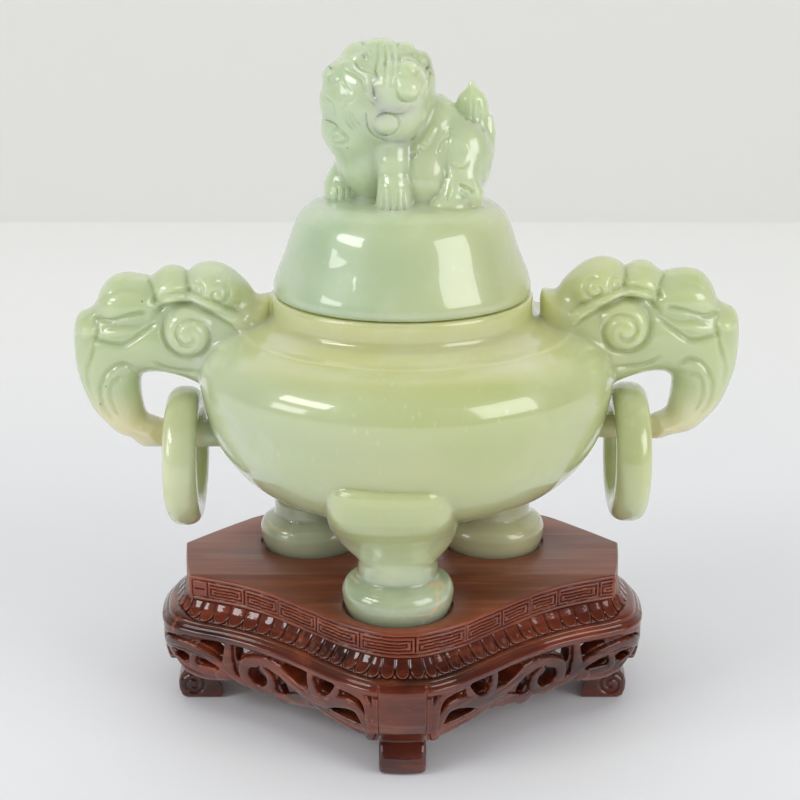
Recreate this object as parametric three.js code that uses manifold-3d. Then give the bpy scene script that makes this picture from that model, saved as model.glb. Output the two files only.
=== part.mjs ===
// Carved jade tripod censer with a lion-topped lid, two beast-head handles with
// free rings, on a carved and pierced hardwood stand. Millimetres, +Z up, origin
// on the floor under the middle of the stand. -Y is the front.
import * as THREE from "three";
import { mergeVertices } from "three/addons/utils/BufferGeometryUtils.js";
import Module from "manifold-3d";

const wasm = await Module();
wasm.setup();

// ---------------------------------------------------------------- dimensions
const GAP = 0.3; // running gap between cut or fitted faces

// stand
const FLOOR = 0;
const APRON_BOTTOM = 9.4;
const FRAME_TOP = 26.4; // top of the legs and aprons, underside of the petal board
const PETAL_TOP = 31.4; // top of the petal board, underside of the top board
const BOARD_TOP = 38;
const RECESS_DEPTH = 1.2; // sunk seats for the censer's feet
const RECESS_R = 13.6;
const LEG_WIDTH = 11.7;
const APRON_THICK = 4.6;
const TENON = 3.2; // how far an apron's tenon reaches into a leg

// censer
const FEET_ON = BOARD_TOP - RECESS_DEPTH;
// the carving is a little uneven: bowl and handles lean right, the front leg left
const BOWL_X = 1.1;
const RIM_Z = 111.4;
const NECK_BORE = 27;
const FLANGE_R = 26.3;
const FLANGE_DEPTH = 4;
const HANDLE_REACH = 84.4;

// ring handles
const RING_R = 14.2;
const RING_TUBE = 4.0;
// each handle: how far it sits off the mirrored outline, its bar and its ring
const handles = [
  { name: "left", side: -1, dx: 0.5, dz: 0, jaw: 0, barZ: 73.6, barR: 3.6, ringX: -56.3 },
  { name: "right", side: 1, dx: 1.2, dz: 1.3, jaw: -1.2, barZ: 75.4, barR: 2.9, ringX: 58.4 },
];

// ------------------------------------------------------------------- helpers
function solid(geometry, matrix) {
  let g = geometry.index ? geometry.toNonIndexed() : geometry.clone();
  g.deleteAttribute("normal");
  g.deleteAttribute("uv");
  if (matrix) g.applyMatrix4(matrix);
  g = mergeVertices(g, 1e-4);
  return new wasm.Manifold(
    new wasm.Mesh({
      numProp: 3,
      vertProperties: g.attributes.position.array,
      triVerts: new Uint32Array(g.index.array),
    }),
  );
}

function geometryOf(manifold) {
  const m = manifold.getMesh();
  const g = new THREE.BufferGeometry();
  const n = m.numProp;
  const pos = new Float32Array((m.vertProperties.length / n) * 3);
  for (let i = 0; i < pos.length / 3; i++)
    for (let k = 0; k < 3; k++) pos[3 * i + k] = m.vertProperties[n * i + k];
  g.setAttribute("position", new THREE.BufferAttribute(pos, 3));
  g.setIndex(new THREE.BufferAttribute(new Uint32Array(m.triVerts), 1));
  g.computeVertexNormals();
  return g;
}

const move = (x, y, z) => new THREE.Matrix4().makeTranslation(x, y, z);
const turnZ = (a) => new THREE.Matrix4().makeRotationZ(a);
const UP = new THREE.Matrix4().makeRotationX(Math.PI / 2); // lathe and extrude: their Y becomes +Z
const MIRROR_X = new THREE.Matrix4().makeScale(-1, 1, 1);

// A turned solid: profile of [radius, z], from the axis to the axis or closed.
function turned(profile, segments, matrix) {
  const pts = profile.map(([r, z]) => new THREE.Vector2(r, z));
  let s = solid(new THREE.LatheGeometry(pts, segments), UP);
  if (s.volume() < 0) {
    s = solid(new THREE.LatheGeometry(pts.slice().reverse(), segments), UP);
  }
  return matrix ? s.transform(matrix.elements) : s;
}

function shapeOf(points) {
  const s = new THREE.Shape();
  points.forEach(([x, y], i) => (i ? s.lineTo(x, y) : s.moveTo(x, y)));
  s.closePath();
  return s;
}

// An outline in X and Z, made thick along Y.
function plateXZ(points, half) {
  const g = new THREE.ExtrudeGeometry(shapeOf(points), {
    depth: 2 * half,
    bevelEnabled: false,
    steps: 1,
  });
  g.translate(0, 0, -half);
  return solid(g, UP); // shape x -> X, shape y -> Z, depth -> -Y
}

// An outline in X and Y, made thick from z0 to z1.
function plateXY(points, z0, z1) {
  const g = new THREE.ExtrudeGeometry(shapeOf(points), {
    depth: z1 - z0,
    bevelEnabled: false,
    steps: 1,
  });
  g.translate(0, 0, z0);
  return solid(g);
}

function ellipse(cx, cy, rx, ry, n) {
  const out = [];
  for (let i = 0; i < n; i++) {
    const a = (2 * Math.PI * i) / n;
    out.push([cx + rx * Math.cos(a), cy + ry * Math.sin(a)]);
  }
  return out;
}

function ellipsoid(c, r, tilt = 0, w = 10, h = 6) {
  const m = move(c[0], c[1], c[2])
    .multiply(new THREE.Matrix4().makeRotationY(tilt))
    .multiply(new THREE.Matrix4().makeScale(r[0], r[1], r[2]))
    .multiply(UP);
  return solid(new THREE.SphereGeometry(1, w, h), m);
}

function box(x0, x1, y0, y1, z0, z1, matrix) {
  const m = move((x0 + x1) / 2, (y0 + y1) / 2, (z0 + z1) / 2);
  if (matrix) m.premultiply(matrix);
  return solid(new THREE.BoxGeometry(x1 - x0, y1 - y0, z1 - z0), m);
}

function peg(x, y, r, z0, z1, n = 14) {
  return turned([[0, z0], [r, z0], [r, z1], [0, z1]], n, move(x, y, 0));
}

// Points of a smooth closed curve through half an outline mirrored in X.
function mirroredLoop(half, count) {
  const pts = half.map(([x, y]) => new THREE.Vector3(x, y, 0));
  for (let i = half.length - 2; i > 0; i--)
    pts.push(new THREE.Vector3(-half[i][0], half[i][1], 0));
  const c = new THREE.CatmullRomCurve3(pts, true, "centripetal");
  return c.getSpacedPoints(count).slice(0, count).map((p) => [p.x, p.y]);
}

// The loop moved outward by d along its normals (the loop runs anticlockwise).
function offset(loop, d) {
  const n = loop.length;
  return loop.map(([x, y], i) => {
    const a = loop[(i + n - 1) % n],
      b = loop[(i + 1) % n];
    const t = new THREE.Vector2(b[0] - a[0], b[1] - a[1]).normalize();
    return [x + t.y * d, y - t.x * d];
  });
}

// Triangles that fill an outline, turned the way the outline runs.
function fill(points) {
  const v = points.map(([x, y]) => new THREE.Vector2(x, y));
  const ccw = THREE.ShapeUtils.area(v) > 0;
  return THREE.ShapeUtils.triangulateShape(v, []).map(([a, b, c]) => {
    const left =
      (v[b].x - v[a].x) * (v[c].y - v[a].y) - (v[b].y - v[a].y) * (v[c].x - v[a].x) > 0;
    return left === ccw ? [a, b, c] : [a, c, b];
  });
}

// A solid skinned over equal-count loops at rising heights, flat at both ends.
function stacked(loops, heights) {
  const n = loops[0].length,
    pos = [],
    idx = [];
  loops.forEach((l, k) => l.forEach(([x, y]) => pos.push(x, y, heights[k])));
  for (let k = 0; k + 1 < loops.length; k++)
    for (let i = 0; i < n; i++) {
      const a = k * n + i,
        b = k * n + ((i + 1) % n);
      idx.push(a, b, b + n, a, b + n, a + n);
    }
  const top = (loops.length - 1) * n;
  for (const [a, b, c] of fill(loops[0])) idx.push(a, c, b);
  for (const [a, b, c] of fill(loops[loops.length - 1])) idx.push(top + a, top + b, top + c);
  const g = new THREE.BufferGeometry();
  g.setAttribute("position", new THREE.Float32BufferAttribute(pos, 3));
  g.setIndex(idx);
  return solid(g);
}

// ----------------------------------------------------------------- materials
const jade = (hex, rough) =>
  new THREE.MeshStandardMaterial({ color: hex, roughness: rough, metalness: 0 });
const jadeBody = jade(0xb9c9a4, 0.22);
const jadeLid = jade(0xb4cbb2, 0.22);
const jadeRing = jade(0xbccbac, 0.2);
const woodTop = jade(0x7a4a33, 0.42);
const woodCarved = jade(0x4a2620, 0.25);
const woodPin = jade(0x8a6a48, 0.6);

const censer = new THREE.Group();
const pieces = [];
function add(name, manifold, material) {
  const mesh = new THREE.Mesh(geometryOf(manifold), material);
  mesh.name = name;
  censer.add(mesh);
  pieces.push([name, manifold]);
}

// --------------------------------------------------------------- censer body
const bowlOuter = [
  [0, 54], [12, 54.4], [20, 56], [27, 58.4], [33, 60.8], [38, 63], [41.5, 65.2], [44.8, 68.4],
  [47.4, 72], [49.5, 76], [51, 80.5], [52, 85.5], [52.8, 89.4], [51.8, 94], [48, 98.3],
  [43, 101.5], [37.5, 103.2], [0, 103.2],
];
const collar = [
  [0, 100], [39.5, 100], [37.5, 103.2], [33, 104.5], [31.6, 106], [32.7, 108], [32.7, RIM_Z],
  [0, RIM_Z],
];
const bowlInner = [
  [0, 60.4], [20, 61.8], [31, 66], [38, 71], [42.6, 77], [45.6, 86], [42.6, 94], [34, 99.5],
  [27, 102.6], [0, 102.6],
];
const neckBore = [[0, 98], [28, 98], [NECK_BORE, 103], [NECK_BORE, RIM_Z + 2], [0, RIM_Z + 2]];
const legProfile = [
  [0, FEET_ON], [12.9, FEET_ON], [13.7, 40.5], [13.7, 43.5], [12.3, 46], [10, 48.2],
  [9.6, 50.2], [11, 52.6], [14.2, 56.3], [15.9, 61], [16, 67], [14.8, 72], [0, 74],
];
const legFeet = [[-1.1, -28], [24.7, 14.25], [-24.7, 14.25]];

// Beast head with its trunk curled down and in to a bar: outline of the +X one.
const headOutline = [
  [35, 108], [38.5, 109.5], [40, 113.5], [42.5, 117.2], [45, 119.5], [49.2, 120.2],
  [52, 119.6], [54.4, 118.2], [57, 119.2], [60, 119], [63.8, 116.4], [65.6, 117],
  [70, 117.4], [74, 116.7], [76.9, 113.5], [78.8, 109], [82, 107.2], [83.4, 104],
  [84.2, 101], [HANDLE_REACH, 96], [84, 91], [82.2, 85], [80, 79.7], [77.8, 77],
  [74.6, 73.5], [71.6, 72], [67, 71.6], [62.8, 70.9], [62.8, 77.1], [66.2, 78.6],
  [67.1, 80.7], [67.5, 86], [67.2, 90.1], [61.3, 90.2], [56, 89], [50, 87.5],
  [42, 90], [36, 96],
];
const JAW = [32, 35]; // the outline points along the jaw

let body = turned(bowlOuter, 44, move(BOWL_X, 0, 0)).add(turned(collar, 44));
for (const [x, y] of legFeet) {
  body = body.add(turned(legProfile, 20, move(x, y, 0)));
  // the knee swells forward under the bowl
  const k = 1 + 5 / Math.hypot(x, y);
  body = body.add(ellipsoid([x * k, y * k, 67], [14.5, 14.5, 9.5], 0, 16, 8));
}
const barLie = new THREE.Matrix4().makeRotationZ(-Math.PI / 2); // cylinder Y -> X
for (const h of handles) {
  const outline = headOutline.map(([x, z], i) => [
    x, z + (i >= JAW[0] && i <= JAW[1] ? h.jaw : 0),
  ]);
  let handle = plateXZ(outline, 7.6)
    .add(plateXZ(ellipse(53.5, 103, 10.5, 10.5, 20), 11))
    .add(plateXZ(ellipse(50.5, 114, 8, 5.2, 16), 10.5))
    .add(plateXZ(ellipse(69, 112, 8.5, 5.4, 16), 9.5))
    .add(plateXZ(ellipse(75, 98, 8.5, 9, 16), 8.8));
  if (h.side < 0) handle = handle.transform(MIRROR_X.elements);
  body = body.add(handle.translate([h.dx, 0, h.dz])).add(
    solid(
      new THREE.CylinderGeometry(h.barR, h.barR, 30, 16, 1),
      move(h.side * 54, 0, h.barZ).multiply(barLie),
    ),
  );
}
body = body.subtract(turned(bowlInner, 36, move(BOWL_X, 0, 0))).subtract(turned(neckBore, 36));
add("censer_body", body, jadeBody);

// ----------------------------------------------------------------------- lid
const lidOuter = [
  [0, RIM_Z - FLANGE_DEPTH], [FLANGE_R, RIM_Z - FLANGE_DEPTH], [FLANGE_R, RIM_Z],
  [31.4, RIM_Z], [32.3, 112.4], [32.2, 114.8], [31.4, 117], [30.3, 119.8], [29.2, 122.8],
  [28.2, 126], [27, 129], [25.5, 131.5], [23.2, 133.4], [20, 134.6], [0, 135],
];
const lidInner = [
  [0, RIM_Z - FLANGE_DEPTH - 2], [23, RIM_Z - FLANGE_DEPTH - 2], [23.2, 113],
  [24, 117], [23.4, 122], [21, 126.4], [15, 128.6], [0, 129.2],
];
let lid = turned(lidOuter, 40);
// lion: body, chest, rump, mane and head, muzzle, ears, four legs, flame tail
const lion = [
  ellipsoid([4, 2, 143.5], [15.5, 9.8, 11]),
  ellipsoid([-8.5, -2, 146], [10, 10, 14]),
  ellipsoid([12, 1, 142.5], [10.2, 11.5, 11]),
  ellipsoid([-6, -2.5, 160.3], [13.8, 12, 13.4], 0, 14, 9),
  ellipsoid([-1, -11, 158.5], [8, 5.5, 7.5]),
  ellipsoid([-3.6, -12.2, 152.4], [4.4, 3.4, 3.8]),
  ellipsoid([-18, 3, 153], [3, 5, 6]),
  ellipsoid([6.5, 2, 157], [4, 6, 6]),
  ellipsoid([-2.5, -9.3, 139], [4.2, 4.6, 9]),
  ellipsoid([-2, -10.6, 134.2], [5.4, 4.6, 3.6]),
  ellipsoid([-14.6, 4, 139], [4.4, 5, 9]),
  ellipsoid([-15.4, 3, 134.4], [5, 6, 3.6]),
  ellipsoid([11.5, -8.2, 134.6], [8.6, 5, 4]),
  ellipsoid([12, 9.5, 134.6], [8.6, 4.4, 4]),
  ellipsoid([16.8, 0, 147.5], [5.8, 5.4, 10]),
  ellipsoid([17, 0.4, 155], [4, 4, 8.2]),
  ellipsoid([20, 0.4, 150.5], [2.9, 3.6, 7], 0.1),
];
for (const p of lion) lid = lid.add(p);
lid = lid.subtract(turned(lidInner, 32));
add("lid", lid, jadeLid);

// --------------------------------------------------------------------- rings
for (const h of handles) {
  const hang = h.barZ + h.barR + 0.4 - (RING_R - RING_TUBE);
  const torus = solid(
    new THREE.TorusGeometry(RING_R, RING_TUBE, 12, 30),
    move(h.ringX, 0, hang).multiply(new THREE.Matrix4().makeRotationY(Math.PI / 2)),
  );
  add("ring_" + h.name, torus, jadeRing);
}

// --------------------------------------------------------------------- stand
const frameHalf = [
  [0, -50.5], [7, -49.6], [12, -47], [17, -43], [23, -37.5], [30, -31], [38, -25],
  [46, -20.5], [54, -17], [59.5, -13.5], [62.8, -8.5], [64, 0], [63.6, 8], [61.5, 15],
  [57, 22], [50, 30], [42, 37], [32, 43.5], [20, 48], [10, 50], [0, 50.5],
];
const boardHalf = [
  [0, -45.4], [5, -44.7], [10, -42.3], [15.4, -38.6], [21.3, -33], [29.5, -25.4],
  [35.8, -20.2], [43.6, -15.4], [55.4, -10.4], [57.4, 0], [58.8, 12], [52, 20],
  [44.6, 28.1], [40.3, 32], [30, 38.5], [20, 42.5], [10, 44.8], [0, 45.5],
];
const frameLoop = mirroredLoop(frameHalf, 72);
const boardLoop = boardHalf.concat(
  boardHalf.slice(1, -1).reverse().map(([x, y]) => [-x, y]),
);
const pegSpots = [[39, -9], [-39, -9], [14, 36], [-14, 36]];
const PEG_R = 1.6;
const PEG_Z = [28.2, 34.8];
const legSpots = [
  { name: "front", angle: 0, at: 50.5 },
  { name: "right", angle: Math.PI / 2, at: 64 },
  { name: "back", angle: Math.PI, at: 50.5 },
  { name: "left", angle: -Math.PI / 2, at: 64 },
];
const TENON_TOP = 29;

// top board, with three sunk seats and blind holes for its pins
let board = plateXY(boardLoop, PETAL_TOP, BOARD_TOP);
for (const [x, y] of legFeet)
  board = board.subtract(peg(x, y, RECESS_R, FEET_ON, BOARD_TOP + 2, 32));
for (const [x, y] of pegSpots)
  board = board.subtract(peg(x, y, PEG_R + GAP, PETAL_TOP - 2, PEG_Z[1] + GAP));
add("stand_top_board", board, woodTop);

// petal board: the plate between the top board and the frame, its edge sloping out
let petal = stacked(
  [offset(frameLoop, -2.6), offset(frameLoop, -2.9), offset(frameLoop, -4.2), offset(frameLoop, -6)],
  [FRAME_TOP, 27.4, 29, PETAL_TOP],
);
for (const [x, y] of pegSpots)
  petal = petal.subtract(peg(x, y, PEG_R + GAP, PEG_Z[0] - GAP, PETAL_TOP + 2));

// Legs: side outline (distance outward from the stand's middle, z), made wide
// across. Each has a tenon on top and a mortise in each side for an apron.
const legSide = (r) => [
  [r - 1.8, FRAME_TOP], [r, 24.2], [r, 19], [r - 0.9, 15.5], [r - 3.0, 12], [r - 5, 9.6],
  [r - 5.6, 7.8], [r - 4.4, 6], [r - 3.4, 4], [r - 3.5, 1.4], [r - 5, FLOOR],
  [r - 14, FLOOR], [r - 14.4, 2], [r - 13, 6], [r - 10.6, 10], [r - 9.2, 15], [r - 9, FRAME_TOP],
];
// a leg's own frame: X across, -Y outward, turned about Z into place
const legFrame = (l) => turnZ(l.angle);
for (const l of legSpots) {
  const g = new THREE.ExtrudeGeometry(shapeOf(legSide(l.at)), {
    depth: LEG_WIDTH,
    bevelEnabled: false,
    steps: 1,
  });
  g.translate(0, 0, -LEG_WIDTH / 2);
  // shape x -> -Y, shape y -> Z, depth -> -X
  const m = new THREE.Matrix4().set(0, 0, -1, 0, -1, 0, 0, 0, 0, 1, 0, 0, 0, 0, 0, 1);
  let leg = solid(g, legFrame(l).multiply(m));
  const tenonAt = l.at - 7.2;
  leg = leg.add(
    box(-2.8, 2.8, -tenonAt - 1.3, -tenonAt + 1.3, FRAME_TOP - 2, TENON_TOP, legFrame(l)),
  );
  for (const s of [-1, 1])
    leg = leg.subtract(
      box(
        s > 0 ? LEG_WIDTH / 2 - TENON - GAP : -LEG_WIDTH / 2 - 2,
        s > 0 ? LEG_WIDTH / 2 + 2 : -LEG_WIDTH / 2 + TENON + GAP,
        -l.at + 1.9, -l.at + 5.3, 15.7, 23.3, legFrame(l),
      ),
    );
  add("stand_leg_" + l.name, leg, woodCarved);
  petal = petal.subtract(
    box(-2.8 - GAP, 2.8 + GAP, -tenonAt - 1.3 - GAP, -tenonAt + 1.3 + GAP, FRAME_TOP - 2, TENON_TOP + GAP, legFrame(l)),
  );
}
add("petal_board", petal, woodCarved);

// Aprons: a bulged section swept along the frame's outline, cut off at the legs,
// pierced and given a cusped lower edge. The loop starts at the front middle and
// runs anticlockwise seen from above.
const apronSection = [
  [-1.8, FRAME_TOP], [0, 24.2], [-0.1, 19], [-0.6, 16], [-1.6, 12],
  [-2.6, APRON_BOTTOM], [-2.4 - APRON_THICK, APRON_BOTTOM], [-0.6 - APRON_THICK, 17],
  [-1.6 - APRON_THICK, FRAME_TOP],
];
const N = frameLoop.length;
const smooth = new THREE.CatmullRomCurve3(
  frameLoop.map(([x, y]) => new THREE.Vector3(x, y, 0)), true, "centripetal",
);
const lengthOf = smooth.getLength();
// nearest curve parameter to a leg
function paramNear(x, y) {
  let best = 0,
    bd = 1e9;
  for (let i = 0; i <= 2000; i++) {
    const p = smooth.getPointAt(i / 2000);
    const d = (p.x - x) ** 2 + (p.y - y) ** 2;
    if (d < bd) [bd, best] = [d, i / 2000];
  }
  return best;
}
const stations = legSpots.map((l) =>
  paramNear(l.at * Math.sin(l.angle), -l.at * Math.cos(l.angle)),
);
const apronNames = ["front_right", "back_right", "back_left", "front_left"];
for (let k = 0; k < 4; k++) {
  let u0 = stations[k],
    u1 = stations[(k + 1) % 4];
  if (k === 0 && u0 > 0.5) u0 -= 1;
  if (u1 <= u0) u1 += 1;
  const steps = 16;
  const rows = [];
  for (let i = 0; i <= steps; i++) {
    const u = (((u0 + ((u1 - u0) * i) / steps) % 1) + 1) % 1;
    const p = smooth.getPointAt(u),
      t = smooth.getTangentAt(u);
    rows.push(apronSection.map(([d, z]) => [p.x + t.y * d, p.y - t.x * d, z]));
  }
  // skin over the rows
  const m = apronSection.length,
    pos = rows.flat(2),
    idx = [];
  for (let i = 0; i < steps; i++)
    for (let j = 0; j < m; j++) {
      const a = i * m + j,
        b = i * m + ((j + 1) % m);
      idx.push(a, b + m, b, a, a + m, b + m);
    }
  for (const [a, b, c] of fill(apronSection)) {
    idx.push(a, b, c);
    idx.push(steps * m + a, steps * m + c, steps * m + b);
  }
  const g = new THREE.BufferGeometry();
  g.setAttribute("position", new THREE.Float32BufferAttribute(pos, 3));
  g.setIndex(idx);
  let apron = solid(g);
  if (apron.volume() < 0) {
    for (let i = 0; i < idx.length; i += 3) [idx[i + 1], idx[i + 2]] = [idx[i + 2], idx[i + 1]];
    g.setIndex(idx);
    apron = solid(g);
  }
  // cut off at both legs
  for (const l of [legSpots[k], legSpots[(k + 1) % 4]])
    apron = apron.subtract(
      box(-LEG_WIDTH / 2 - GAP, LEG_WIDTH / 2 + GAP, -l.at - 4, -l.at + 20, -5, 40, legFrame(l)),
    );
  // pierced scrollwork: openings through the face, and scallops in the lower edge
  const span = (u1 - u0) * lengthOf;
  const put = (s, shape, depth = 16) => {
    const u = (((u0 + s / lengthOf) % 1) + 1) % 1;
    const p = smooth.getPointAt(u),
      t = smooth.getTangentAt(u);
    const cut = new THREE.ExtrudeGeometry(shapeOf(shape), { depth, bevelEnabled: false, steps: 1 });
    cut.translate(0, 0, -depth * 0.6);
    // shape x -> along the curve, shape y -> Z, depth -> outward
    const mm = new THREE.Matrix4().set(
      t.x, 0, t.y, p.x, t.y, 0, -t.x, p.y, 0, 1, 0, 0, 0, 0, 0, 1,
    );
    return solid(cut, mm);
  };
  // the vines leave these openings: outlines of [distance from the front or back
  // leg's middle, z], the same on all four aprons
  const scroll = [
    [[9.6, 18.8], [11, 21.8], [14, 22.7], [25, 22.6], [24.6, 19.6], [20, 20], [14, 20.6]],
    [[10.4, 14], [13, 16], [15, 17.8], [19, 17.8], [22.8, 15.2], [21, 13.9], [16, 14.6]],
    [[28.6, 21.8], [31.5, 22.8], [37.4, 22], [35.6, 18.8], [32, 18]],
    [[37, 13.2], [38, 16], [40.2, 16], [40.2, 12.6]],
    ellipse(46.6, 16, 2.9, 2.9, 9),
    [[48.4, 22.6], [52.6, 22.6], [52.8, 19.8], [50.8, 20]],
    [[56.4, 22.2], [72, 22.4], [73, 21], [66, 20.2], [57.4, 19]],
    [[57.8, 15.2], [60, 17], [64.4, 16.6], [63.2, 13.8]],
    [[67.6, 17], [72.6, 16.6], [72, 14.2], [68.4, 14.8]],
    [[20, 6], [20, 11.2], [30, 11.2], [38, 9], [38, 6]],
    [[52, 6], [54.6, 12], [56, 12], [60, 9.8], [60, 6]],
  ];
  const backwards = k % 2 === 1; // these two start at a side leg
  const holes = scroll.map((shape) =>
    shape.map(([s, z]) => [backwards ? span - s : s, z]),
  );
  for (const shape of holes) {
    const at = shape.reduce((t, p) => t + p[0], 0) / shape.length;
    apron = apron.subtract(put(at, shape.map(([s, z]) => [s - at, z])));
  }
  // tenons into the legs, in each leg's own frame
  for (const [l, s] of [[legSpots[k], 1], [legSpots[(k + 1) % 4], -1]])
    apron = apron.add(
      box(
        s > 0 ? LEG_WIDTH / 2 - TENON : -LEG_WIDTH / 2 - 2,
        s > 0 ? LEG_WIDTH / 2 + 2 : -LEG_WIDTH / 2 + TENON,
        -l.at + 2.2, -l.at + 5, 16, 23, legFrame(l),
      ),
    );
  add("apron_" + apronNames[k], apron, woodCarved);
}

pegSpots.forEach(([x, y], i) =>
  add("board_pin_" + (i + 1), peg(x, y, PEG_R, PEG_Z[0], PEG_Z[1]), woodPin),
);

export default censer;
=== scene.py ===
# Looks of the carved jade censer on its pierced hardwood stand.
# Every carved surface is made here as a fine mesh from a signed distance field or
# a relief laid on the CAD outline, in the CAD frame. Sizes below are millimetres.
import math

import bpy
import numpy as np
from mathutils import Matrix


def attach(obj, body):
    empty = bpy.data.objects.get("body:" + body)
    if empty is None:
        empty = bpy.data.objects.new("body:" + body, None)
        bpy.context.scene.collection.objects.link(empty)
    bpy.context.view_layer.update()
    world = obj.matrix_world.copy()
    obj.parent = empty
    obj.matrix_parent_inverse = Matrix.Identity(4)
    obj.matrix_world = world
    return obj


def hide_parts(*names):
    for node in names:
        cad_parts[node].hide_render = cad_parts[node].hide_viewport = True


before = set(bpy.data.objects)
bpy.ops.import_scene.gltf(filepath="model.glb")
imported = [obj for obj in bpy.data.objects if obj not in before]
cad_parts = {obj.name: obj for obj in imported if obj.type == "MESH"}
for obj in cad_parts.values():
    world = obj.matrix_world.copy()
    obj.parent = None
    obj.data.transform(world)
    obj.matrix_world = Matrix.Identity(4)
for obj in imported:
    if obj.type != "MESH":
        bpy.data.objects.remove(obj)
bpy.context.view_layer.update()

import openvdb as vdb
from mathutils import Vector
from mathutils.geometry import tessellate_polygon

RES = 1.0          # coarser grids while trying things

# ------------------------------------------------------------------ fields
def smin(a, b, k):
    if k <= 0:
        return np.minimum(a, b)
    h = np.maximum(k - np.abs(a - b), 0.0) / k
    return np.minimum(a, b) - h * h * (k * 0.25)


def smax(a, b, k):
    if k <= 0:
        return np.maximum(a, b)
    h = np.maximum(k - np.abs(a - b), 0.0) / k
    return np.maximum(a, b) + h * h * (k * 0.25)


def sstep(e0, e1, x):
    t = np.clip((x - e0) / (e1 - e0), 0.0, 1.0)
    return t * t * (3 - 2 * t)


class Field:
    """A signed distance field on a regular grid, negative inside."""

    def __init__(self, lo, hi, h):
        self.h = h * RES
        self.lo = np.array(lo, float)
        n = np.ceil((np.array(hi, float) - self.lo) / self.h).astype(int) + 1
        self.n = n
        self.f = np.full(tuple(n), 50.0, np.float32)
        self.ax = [(self.lo[i] + self.h * np.arange(n[i])).astype(np.float32) for i in range(3)]

    def part(self, lo, hi):
        s, c = [], []
        for i in range(3):
            a = int(np.clip(math.floor((lo[i] - self.lo[i]) / self.h), 0, self.n[i] - 1))
            b = int(np.clip(math.ceil((hi[i] - self.lo[i]) / self.h) + 1, a + 1, self.n[i]))
            s.append(slice(a, b))
            c.append(self.ax[i][a:b])
        return tuple(s), c[0][:, None, None], c[1][None, :, None], c[2][None, None, :]

    def add(self, fn, lo, hi, k=0.0, pad=3.0):
        lo = [v - pad - k for v in lo]
        hi = [v + pad + k for v in hi]
        s, x, y, z = self.part(lo, hi)
        self.f[s] = smin(self.f[s], fn(x, y, z).astype(np.float32), k)
        return self

    def cut(self, fn, lo, hi, k=0.0, pad=3.0):
        lo = [v - pad - k for v in lo]
        hi = [v + pad + k for v in hi]
        s, x, y, z = self.part(lo, hi)
        self.f[s] = smax(self.f[s], -fn(x, y, z).astype(np.float32), k)
        return self

    def ball(self, c, r, k=1.0, rot=None, cut=False):
        """An ellipsoid, turned by rot = (about x, about y, about z) in degrees."""
        c = np.array(c, float)
        r = np.array(r if hasattr(r, "__len__") else (r, r, r), float)
        m = turn(rot)
        ext = r.max() if rot else None
        lo = c - (ext if rot else r)
        hi = c + (ext if rot else r)

        def fn(x, y, z):
            px, py, pz = x - c[0], y - c[1], z - c[2]
            if m is not None:
                px, py, pz = (m[0, i] * px + m[1, i] * py + m[2, i] * pz for i in range(3))
            k0 = np.sqrt((px / r[0]) ** 2 + (py / r[1]) ** 2 + (pz / r[2]) ** 2) + 1e-6
            k1 = np.sqrt((px / r[0] ** 2) ** 2 + (py / r[1] ** 2) ** 2 + (pz / r[2] ** 2) ** 2) + 1e-6
            return k0 * (k0 - 1.0) / k1

        return self.cut(fn, lo, hi, k) if cut else self.add(fn, lo, hi, k)

    def rod(self, pts, radii, k=0.5, cut=False, flat=None):
        """A tapered tube along points. flat = (axis, factor) is not used."""
        pts = np.array(pts, float)
        radii = np.array(radii if hasattr(radii, "__len__") else [radii] * len(pts), float)
        R = radii.max()
        lo, hi = pts.min(0) - R, pts.max(0) + R

        def fn(x, y, z):
            out = None
            for a, b, ra, rb in zip(pts[:-1], pts[1:], radii[:-1], radii[1:]):
                d = b - a
                L2 = float(d @ d) + 1e-9
                px, py, pz = x - a[0], y - a[1], z - a[2]
                t = np.clip((px * d[0] + py * d[1] + pz * d[2]) / L2, 0, 1)
                qx, qy, qz = px - t * d[0], py - t * d[1], pz - t * d[2]
                dist = np.sqrt(qx * qx + qy * qy + qz * qz) - (ra + t * (rb - ra))
                out = dist if out is None else np.minimum(out, dist)
            return out

        return self.cut(fn, lo, hi, k, pad=1.5) if cut else self.add(fn, lo, hi, k)


def turn(rot):
    if not rot:
        return None
    ax, ay, az = (math.radians(v) for v in rot)
    cx, sx, cy, sy, cz, sz = math.cos(ax), math.sin(ax), math.cos(ay), math.sin(ay), math.cos(az), math.sin(az)
    X = np.array([[1, 0, 0], [0, cx, -sx], [0, sx, cx]])
    Y = np.array([[cy, 0, sy], [0, 1, 0], [-sy, 0, cy]])
    Z = np.array([[cz, -sz, 0], [sz, cz, 0], [0, 0, 1]])
    return Z @ Y @ X


def spline(pts, n=12, closed=False):
    """Catmull-Rom through points, n steps a span."""
    p = np.array(pts, float)
    m = len(p)
    out = []
    spans = m if closed else m - 1
    for i in range(spans):
        p0 = p[(i - 1) % m] if (closed or i > 0) else 2 * p[0] - p[1]
        p1, p2 = p[i], p[(i + 1) % m]
        p3 = p[(i + 2) % m] if (closed or i + 2 < m) else 2 * p[-1] - p[-2]
        for t in np.arange(n) / n:
            out.append(0.5 * (2 * p1 + (p2 - p0) * t + (2 * p0 - 5 * p1 + 4 * p2 - p3) * t * t + (3 * p1 - 3 * p2 + p3 - p0) * t ** 3))
    if not closed:
        out.append(p[-1])
    return np.array(out)


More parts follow.
